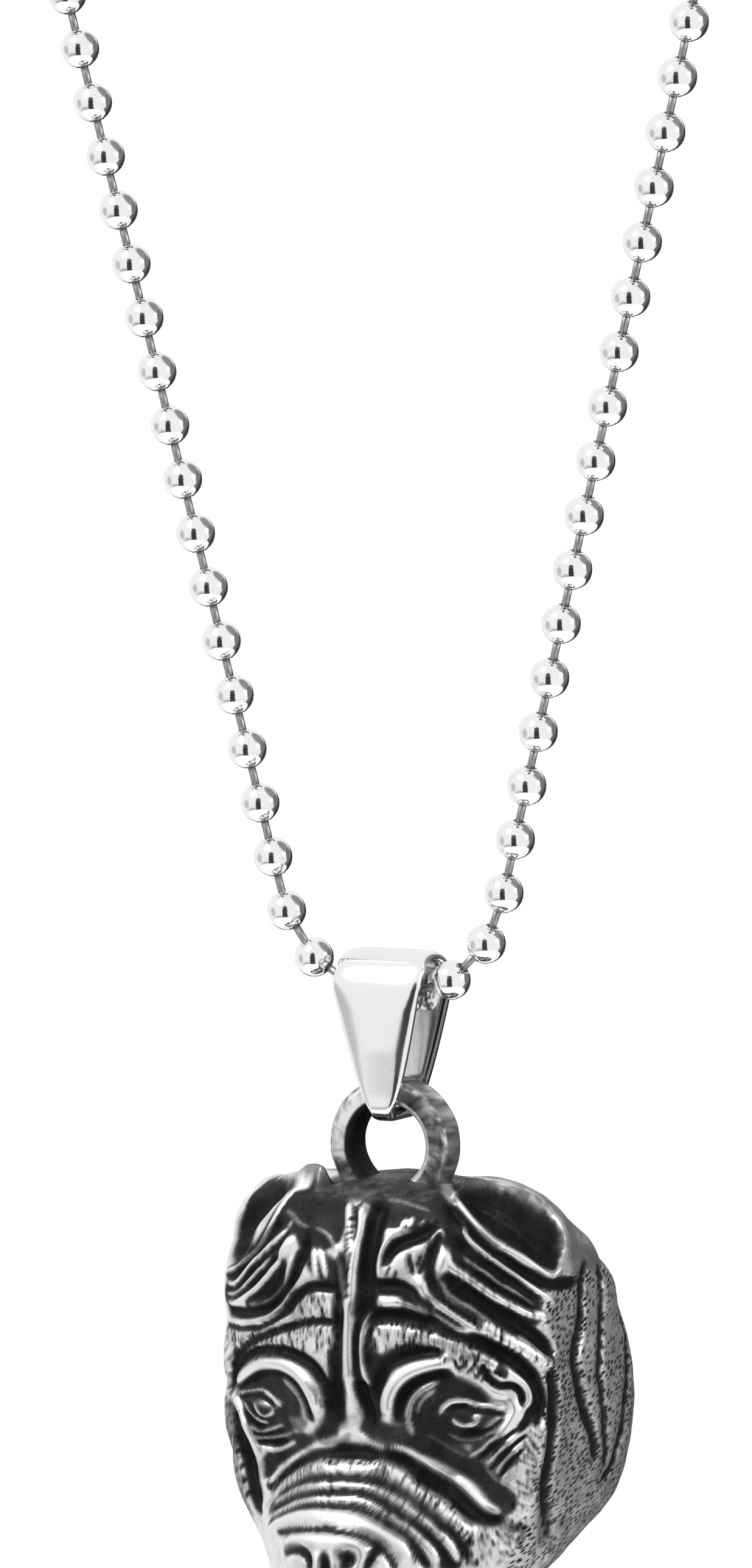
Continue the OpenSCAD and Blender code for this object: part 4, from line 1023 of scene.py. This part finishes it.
# %% [markdown]
# ## Hair
#
# The brows, the forehead and the muzzle's rolls have short strands with dark gaps between them.
# Columns: half width of the roll, strand spacing, strand length, how dark the gaps are, lean, then marks along
# the roll.

# %% Rolls of hair
right_hair = [
    (0.95, 0.52, 1.2, 0.9, 0.1, (1.9, -11.4), (3.2, -11.1), (4.8, -11.2), (6.2, -11.7), (7.6, -12.5), (8.8, -13.3)),
    (0.45, 0.5, 1, 0.9, 0.3, (8, -10.2), (9.2, -11.1), (10.1, -11.8), (10.8, -12.5), (11.2, -13.2)),
    (0.28, 0.55, 0.9, 0.6, 0.5, (6.4, -6.95), (7.2, -7.4), (8.8, -8.6), (10.4, -9.7), (11.1, -10.1)),
    (0.42, 0.43, 1.2, 0.9, 0.3, (0, -19.2), (1.8, -19.1), (2.5, -19.3), (3.3, -19.7), (4, -20.25), (5, -20.95),
     (6, -21.55), (6.5, -22), (7, -22.7), (7.4, -23.6)),
    (0.25, 0.42, 0.8, 0.6, 0.2, (0, -20.25), (2, -20.35), (3, -20.77), (4, -21.4), (5, -22.1), (5.85, -22.95),
     (6.6, -24.1)),
    (0.2, 0.5, 0.8, 0.5, 0.2, (0, -21.15), (1.5, -21.17), (2.5, -21.45), (3.5, -22.05), (4.5, -22.75), (5.4, -23.7)),
    (0.8, 0.45, 1.2, 0.7, -0.5, (10.9, -15.8), (10.8, -17.2), (10.4, -18.6), (10.2, -20), (9.9, -21.2), (9.5, -22.6)),
    (1.4, 0.53, 0.9, 0.6, 0.3, (7.6, -24.4), (8.4, -24), (9.2, -23.4)),
]
left_hair = [
    (0.85, 0.55, 1, 0.85, 0.3, (1.1, -9.4), (2.4, -9.5), (3.6, -9.9)),
    (0.9, 0.5, 1.2, 0.9, 0.1, (1.1, -11.6), (3, -11.6), (5, -11.9), (7, -12.3), (8.6, -13)),
    (0.5, 0.56, 1, 0.7, 0.2, (6.6, -11.3), (8.4, -11.8), (10.6, -12)),
    (0.45, 0.43, 1.2, 0.9, 0.2, (0, -19.1), (1, -19.1), (2, -19.3), (3.5, -19.7), (5, -20.3), (6.1, -21.1)),
    (0.22, 0.42, 0.8, 0.6, 0.2, (0, -20.3), (2, -20.45), (3.5, -20.8), (5, -21.4)),
    (0.34, 0.4, 1.2, 0.7, 0.3, (0.15, -3.4), (0.35, -5), (0.2, -7), (0.1, -9)),
    (1.3, 0.69, 1, 0.4, 0.4, (10.2, -12.5), (10, -16), (9.6, -19.5), (8.9, -23)),
]
print(len(right_hair) + len(left_hair), "rolls of hair")

# %% [markdown]
# ## Measuring along a line
#
# Each row becomes a smooth line on the head, and every point near it is told how far off and how far along it
# lies. Only the points in a line's own box are measured, so all rows take a few seconds.
# Nothing is drawn by chance: the noise and the numbers that vary the strands are the same in each run.

# %% Distances, noise and steps
def near_line(line, wide):
    """Points within reach of a line: their numbers, distances, lengths along it, and which side they are on."""
    box = np.all((plain > line.min(0) - wide) & (plain < line.max(0) + wide), axis=1)
    number = np.nonzero(box)[0]
    points = plain[number]
    distance, along, hand = np.full(len(number), 1e9), np.zeros(len(number)), np.zeros(len(number))
    run = 0.0
    for a, b in zip(line[:-1], line[1:]):
        ab = b - a
        length = np.linalg.norm(ab)
        if length < 1e-6:
            continue
        t = np.clip((points - a) @ ab / length ** 2, 0, 1)
        off = points - a - t[:, None] * ab
        d = np.linalg.norm(off, axis=1)
        better = d < distance
        distance[better], along[better] = d[better], run + t[better] * length
        hand[better] = np.sign(np.einsum("ij,ij->i", np.cross(ab, off[better]), plain_out[number[better]]))
        run += length
    keep = distance < wide
    return number[keep], distance[keep], along[keep], hand[keep], run


def random_of(k, seed):
    """A fixed number from 0 to 1 that looks random, for each whole number."""
    return np.modf(np.abs(np.sin(k * 12.9898 + seed * 78.233)) * 43758.5453)[0]


def noise_of(points):
    return np.array([noise.noise(Vector(p)) for p in points])


def smooth(low, high, value):
    """A soft step from 0 at low to 1 at high. High may lie below low."""
    t = np.clip((value - low) / (high - low), 0, 1)
    return t * t * (3 - 2 * t)


def hump(distance, wide):
    """The rounded section of a ridge: 1 on its line and 0 from its width on."""
    return np.clip(1 - (distance / wide) ** 2, 0, 1) ** 2


def at_least(values, number, new):
    """Raise the values at these points to at least the new ones."""
    values[number] = np.maximum(values[number], new)


print("half a step gives", smooth(0, 1, 0.5), "and half a hump", round(float(hump(0.5, 1)), 2))

# %% [markdown]
# ## Cutting the relief
#
# Points near a line are lifted or pressed along the surface's own way out, with a rounded section that
# fades at the line's ends. The same distances say how bright the metal is. A row that asks for more than its
# width can carry is held back, so that no ridge stands like a knife and no groove cuts under.

# %% Folds, washes and strands
FOLD_REACH, END_FADE, END_HEIGHT, STEEPEST_RIDGE, STEEPEST_CUT = 2.1, 0.7, 0.4, 0.9, 1.5
BRUSH_OUTSIDE, BRUSH_INSIDE = 1.3, 0.7
WIDE_PATCH, THIN_ROLL = 1.25, 0.4
count = len(plain)
bright, dark, raised, cut_in, gap, hairy = (np.zeros(count) for _ in range(6))
tone = np.full(count, 0.85)


def fold(half, height, line):
    number, distance, along, _, length = near_line(line, FOLD_REACH * half)
    from_end = np.minimum(along, length - along)
    section = hump(distance, FOLD_REACH * half) * np.clip(from_end / END_FADE + END_HEIGHT, 0, 1)
    if height > 0:
        # A low ridge is rubbed less than a high one.
        at_least(raised, number, min(height, STEEPEST_RIDGE * half) * section)
        at_least(bright, number, smooth(0.12, 0.65, section) * min(1, 0.1 + 3.5 * height))
    else:
        at_least(cut_in, number, min(-height, STEEPEST_CUT * half) * section)
        at_least(dark, number, smooth(0.06, 0.48, section))


def wash(value, half, line):
    number, distance, _, _, _ = near_line(line, BRUSH_OUTSIDE * half)
    tone[number] += (value - tone[number]) * smooth(BRUSH_OUTSIDE * half, BRUSH_INSIDE * half, distance)


def hair(half, spacing, length, depth, lean, line, seed):
    """Dark gaps between the strands. On a wide patch they lie like bricks, and on a roll they run in from its edges."""
    number, distance, along, hand, _ = near_line(line, half)
    sideways = distance * hand
    run = (along + lean * sideways) / spacing + 0.5 * noise_of(plain[number] * 0.7)
    gap_no = np.floor(run)
    odd = gap_no % 2
    course = np.floor(sideways / length + 0.5 * odd + 0.5) if half > WIDE_PATCH else np.zeros(len(run))

    def vary(more):
        return random_of(gap_no + 57 * course, seed + more)

    # Each gap has its own width, length and place, so that the strands lie as unevenly as combed hair.
    wide = 0.07 + 0.17 * vary(3)
    if half > WIDE_PATCH:
        upwards = sideways / length - course + 0.5 * odd - 0.5 * (vary(0) - 0.5)
        wide = wide * (1 - (upwards / (0.38 + 0.35 * vary(4))) ** 2)
    else:
        from_edge = sideways / half * np.where(vary(0) > 0.4, 1, -1)
        wide = wide * np.clip(1.9 * vary(4) - 0.3 - from_edge, -0.3, 1.1)
        upwards = 0.5 * sideways / half
    off_gap = run - gap_no - 0.5 - 0.4 * (vary(1) - 0.5) - 0.5 * (vary(2) - 0.5) * upwards
    in_roll = depth * smooth(half, 0.85 * half, distance)
    at_least(gap, number, in_roll * smooth(0.15, -0.08, abs(off_gap) - wide))
    if half > THIN_ROLL:
        at_least(hairy, number, in_roll)
    tone[number] *= 1 - 0.25 * random_of(np.floor(2.7 * run), seed + 5)


for side, folds, washes, hairs in ((1, right_side, right_wash, right_hair), (-1, left_side, left_wash, left_hair)):
    for value, half, *marks in washes:
        wash(value, half, from_map(marks, side))
    for seed, (half, spacing, length, depth, lean, *marks) in enumerate(hairs):
        hair(half, spacing, length, depth, lean, from_map(marks, side), seed + side)
    for half, height, *marks in folds:
        fold(half, height, from_map(marks, side))
for value, half, *marks in picture_wash:
    wash(value, half, from_picture(marks))
for half, height, *marks in ears + nose:
    fold(half, height, from_picture(marks))
for half, height, *marks in necklines:
    for flip in (1, -1):
        fold(half, height, from_picture(marks) * (flip, 1, 1))
print("deepest cut", round(cut_in.max(), 2), "highest ridge", round(raised.max(), 2))

# %% [markdown]
# ### The ears' rims
#
# The rims are thin lips that stand straight up, so they are lifted in height and not along the surface.
# Columns: the marks, how much higher the tip stands, and the length over which the rim starts.

# %% Lift the rims
RIM_REACH, RIM_RISE = 0.75, 0.45
risen = np.zeros(count)
for rim_marks, tip, start in ((right_rim, 0.3, 0.6), (left_rim, 0.85, 0.2)):
    number, distance, along, _, _ = near_line(from_solid(rim_marks), RIM_REACH)
    section, begun = hump(distance, RIM_REACH), smooth(0.0, start, along)
    at_least(risen, number, (RIM_RISE + tip * smooth(3.4, 0.9, along)) * begun * section)
    at_least(bright, number, smooth(0.2, 0.75, section) * begun)
print("the rims rise", round(risen.max(), 2), "mm")

# %% [markdown]
# ### Neck, crown and ear backs
#
# The coat on the neck is too fine for the mesh. The attribute "coat" only says where it lies, and the
# material cuts its short slanting strokes. The crown and the backs of the ears are plain and dull.
# Then lifts and cuts are put together, softened a little over neighbouring points, and moved along the surface.

# %% Where the coat lies
COAT_TONE, CROWN_TONE, EAR_BACK_TONE = 0.57, 0.24, 0.50
LUMP_HEIGHT, LUMP_TONE, GAP_DEPTH, BOX_MARGIN = 0.05, 0.10, 0.07, 0.02


def softened(values, own):
    """The values on the grid, each mixed with its neighbours, so that a cut's edge isn't stepped."""
    laid = np.pad(values[square], 1, mode="edge")
    laid = (laid[:, :-2] + own * laid[:, 1:-1] + laid[:, 2:]) / (own + 2)
    laid = (laid[:-2] + own * laid[1:-1] + laid[2:]) / (own + 2)
    soft = np.zeros(count)
    soft[square.ravel()] = laid.ravel()
    return soft


coat = smooth(0.945, 0.97, share) * smooth(-7.2, -8.2, plain[:, 2])
on_crown = smooth(-3.4, -2.8, plain[:, 2]) * smooth(4.6, 3.6, abs(plain[:, 0]))
ear_back = smooth(-8.8, -7.4, plain[:, 2]) * smooth(0.9, 1.8, plain[:, 1]) * (1 - on_crown)
crown_tone = CROWN_TONE + 0.14 * noise_of(plain * 2.3)
for where, value in ((coat, COAT_TONE), (on_crown, crown_tone), (ear_back, EAR_BACK_TONE)):
    tone = tone * (1 - where) + value * where
print("the coat covers", round(100 * float(coat.mean())), "% of the points")

# %% Lift the points and say how far they are rubbed
lumps = noise_of(plain * 0.9)
# A groove is cut less deep where it crosses a rubbed ridge, and the folds are flatter where a rim rises.
lift = softened(raised - cut_in * (1 - 0.6 * bright) - GAP_DEPTH * gap, 2)
risen = softened(risen, 2)
lift = lift * (1 - 0.75 * smooth(0.1, 0.7, risen))
cast = plain + plain_out * (lift + LUMP_HEIGHT * lumps)[:, None]
cast[:, 2] += risen
# The casting stays inside the box of the solids.
box_low, box_high = (np.array(corner) / MM - np.array(RING) for corner in (cad_low, cad_high))
cast[:, 1:] = np.clip(cast[:, 1:], box_low[1:] + BOX_MARGIN, box_high[1:])
# Black stays in gaps and grooves, less of it where a ridge is rubbed, and the rims' tips are half polished.
# The brightness is softened less than the form, so that a fold's edge stays crisp.
rub_and_highlight = np.maximum(tone, bright * 0.97) * (1 - gap) * (1 - dark * (1 - 0.5 * bright))
rub_and_highlight = rub_and_highlight * (1 - 0.5 * smooth(0.45, 0.8, risen))
rub_and_highlight = softened(np.clip(rub_and_highlight + LUMP_TONE * lumps, 0, 1), 5)
coat = coat * (1 - dark)
print("brightness from", round(rub_and_highlight.min(), 2), "to", round(rub_and_highlight.max(), 2), "mean", round(rub_and_highlight.mean(), 2))

# %% [markdown]
# ## Blackened and polished steel
#
# One material covers the casting. Its brightness attribute says how far a place is polished, and also carries the
# painted
# highlights on the eyes and the ring: it moves the colour from oxide black to bright steel, the surface from a dull
# crust to metal, and the roughness down.
# A fine grain breaks the edge between the two, because the black is never rubbed off evenly.
# The short strokes of the coat and the finer ones of the rolls are long cells, which darken only where their
# own attribute says so.

# %% The cast steel
cast_steel, steel_tree, steel = new_material("cast steel")
place = add_node(steel_tree, "ShaderNodeTexCoord").outputs["Object"]
grit = clouds(steel_tree, place, 5200.0, 3.0)
wobble = maths(steel_tree, "ADD", grit, clouds(steel_tree, place, 900.0, 2.0))
wear_and_highlight = maths(steel_tree, "MULTIPLY_ADD", wobble, 0.22, attribute(steel_tree, "rub_and_highlight"))
# Columns: attribute, turn of the strokes, size of a stroke in metres, what it changes on a stroke and beside it.
stroke_kinds = (("coat", 0.5, (0.0009, 0.0005, 0.00023), -0.46, 0.18),
                ("hairy", 0.0, (0.00022, 0.0006, 0.0007), -0.30, 0.12))
for name, turn, size, on_stroke, beside in stroke_kinds:
    inputs = {"Vector": place, "Rotation": (turn, 0.0, 0.0), "Scale": size}
    laid = add_node(steel_tree, "ShaderNodeMapping", inputs, vector_type="TEXTURE").outputs["Vector"]
    inputs = {"Vector": laid, "Scale": 1.0, "Randomness": 0.8}
    cells = add_node(steel_tree, "ShaderNodeTexVoronoi", inputs).outputs["Distance"]
    strokes = spread(steel_tree, cells, 0.15, 0.55, on_stroke, beside)
    wear_and_highlight = maths(steel_tree, "MULTIPLY_ADD", strokes, attribute(steel_tree, name), wear_and_highlight)
polish_and_highlight = spread(steel_tree, wear_and_highlight, 0.22, 1.12)
colour = add_node(steel_tree, "ShaderNodeValToRGB", {"Fac": polish_and_highlight})
stops = colour.color_ramp.elements
stops[0].color, stops[1].color = grey(0.006), grey(0.74)
for position, value in ((0.20, 0.022), (0.40, 0.08), (0.56, 0.20), (0.75, 0.44)):
    stops.new(position).color = grey(value)
steel_tree.links.new(colour.outputs["Color"], steel.inputs["Base Color"])
for socket, black_end, bright_end in (("Metallic", 0.2, 0.85), ("Roughness", 0.55, 0.34)):
    steel_tree.links.new(spread(steel_tree, polish_and_highlight, 0.1, 0.75, black_end, bright_end), steel.inputs[socket])
steel.inputs["Specular IOR Level"].default_value = 0.07
roughen(steel_tree, steel, grit, 0.35, 0.00003)
print("cast steel with", len(steel_tree.nodes), "nodes")

# %% [markdown]
# ## The head's mesh
#
# The cut relief goes back onto the grid. Then the grid's open edge, which is the rim of the neck, is extruded
# again and again: over the rim, down the inner wall and across the floor of the hollow, where it is closed.
# A casting like this is hollow, to save metal and weight.

# %% Build the head and its hollow back
for vert, place_mm in zip(grid_bm.verts, cast):
    vert.co = Vector(place_mm) + RING
for name in ("rub_and_highlight", "coat", "hairy"):
    grid_bm.verts.layers.float.new(name)
rub_and_highlight_layer, coat_layer, hairy_layer = (grid_bm.verts.layers.float[name] for name in ("rub_and_highlight", "coat", "hairy"))
for vert, *values in zip(grid_bm.verts, rub_and_highlight, coat, hairy):
    vert[rub_and_highlight_layer], vert[coat_layer], vert[hairy_layer] = values
middle = RING + Vector((0, 0, MIDDLE_Z))
# Columns: how far in from the rim, height over the ring's plane, brightness.
hollow_steps = [(0.3, 9.4, 0.8), (1.7, 9.4, 0.75), (2.0, 9.3, 0.7), (2.2, 9.0, 0.5), (2.3, 6.0, 0.25), (2.5, 1.6, 0.15),
                (3.2, 1.0, 0.15), (5.0, 0.9, 0.2), (5.4, 0.4, 0.2), (5.6, -1.4, 0.1), (6.4, -2.0, 0.15)]
edges = [edge for edge in grid_bm.edges if edge.is_boundary]
# Each new point remembers the place on the rim that it was extruded from, and every step is measured from there.
rim_place = {vert: vert.co.copy() for edge in edges for vert in edge.verts}
for inset, back_y, value in hollow_steps:
    made = bmesh.ops.extrude_edge_only(grid_bm, edges=edges)["geom"]
    edges = [item for item in made if isinstance(item, bmesh.types.BMEdge) and item.is_boundary]
    moved = {}
    for vert in (item for item in made if isinstance(item, bmesh.types.BMVert)):
        start = next(rim_place[other] for edge in vert.link_edges for other in edge.verts if other in rim_place)
        outwards = Vector((start.x - middle.x, 0, start.z - middle.z)).normalized()
        vert.co = start - outwards * inset
        vert.co.y = RING.y + back_y
        vert[rub_and_highlight_layer] = value
        moved[vert] = start
    rim_place = moved
bmesh.ops.contextual_create(grid_bm, geom=edges)
finish_piece(grid_bm, "head_casting", "head", [cast_steel], "head")

# %% [markdown]
# ### The ring on the crown
#
# The ring is cast with the head. Its section is a bar with rounded corners, spun once round the hole.
# Its hole stays black except at its front edge on the right, and its upper left is the brightest: both light places are
# painted highlights, on the side where the key light falls.

# %% Spin the ring
RING_OUT, RING_CORNER, RING_LUMP = 4.05, 0.5, 0.04
HOLE_LIT_EDGE, HOLE_BLACK = 0.85, 0.06
far, near, high = RING_OUT - RING_CORNER, RING_HOLE + RING_CORNER, RING_HALF - RING_CORNER
ring_profile = []
for quarter, (corner_r, corner_h) in enumerate(((far, high), (near, high), (near, -high), (far, -high))):
    for step in range(5):
        a = math.radians(90 * quarter + 22.5 * step)
        ring_profile.append((corner_r + RING_CORNER * math.cos(a), corner_h + RING_CORNER * math.sin(a)))
ring_bm = spun(ring_profile, 96)
bmesh.ops.rotate(ring_bm, verts=ring_bm.verts, cent=(0, 0, 0), matrix=Matrix.Rotation(math.radians(90), 3, "X"))
ring_rub_and_highlight = ring_bm.verts.layers.float.new("rub_and_highlight")
for vert in ring_bm.verts:
    x, y, z = vert.co
    lump = noise.noise(vert.co * 1.1)
    off = math.hypot(x, z)
    if off < RING_HOLE + 0.4:
        # Oxide black in the hole, with a painted highlight on its front edge at the right, which faces the key light.
        vert[ring_rub_and_highlight] = HOLE_LIT_EDGE if x > 0 and y < -0.6 else HOLE_BLACK
    elif off > RING_OUT - 0.2:
        vert[ring_rub_and_highlight] = 0.58 + 0.5 * noise.noise(vert.co * 2.6)
    else:
        # Random tone, plus a painted highlight that grows towards the upper left, the side of the key light.
        vert[ring_rub_and_highlight] = 0.40 + 0.30 * lump + 0.3 * noise.noise(vert.co * 3.1) + 0.45 * smooth(1.0, 4.0, z - 0.9 * x)
    vert.co += vert.co.normalized() * RING_LUMP * lump + RING
finish_piece(ring_bm, "crown_ring", "head", [cast_steel])

# %% [markdown]
# ## The size of the solids
#
# The dressed part must stay as large as the solids. The box of the solids was measured at the start,
# and it is printed here.

# %% Size of the solids
print("solids", [round(v * 1000, 2) for v in (*cad_low, *cad_high)])
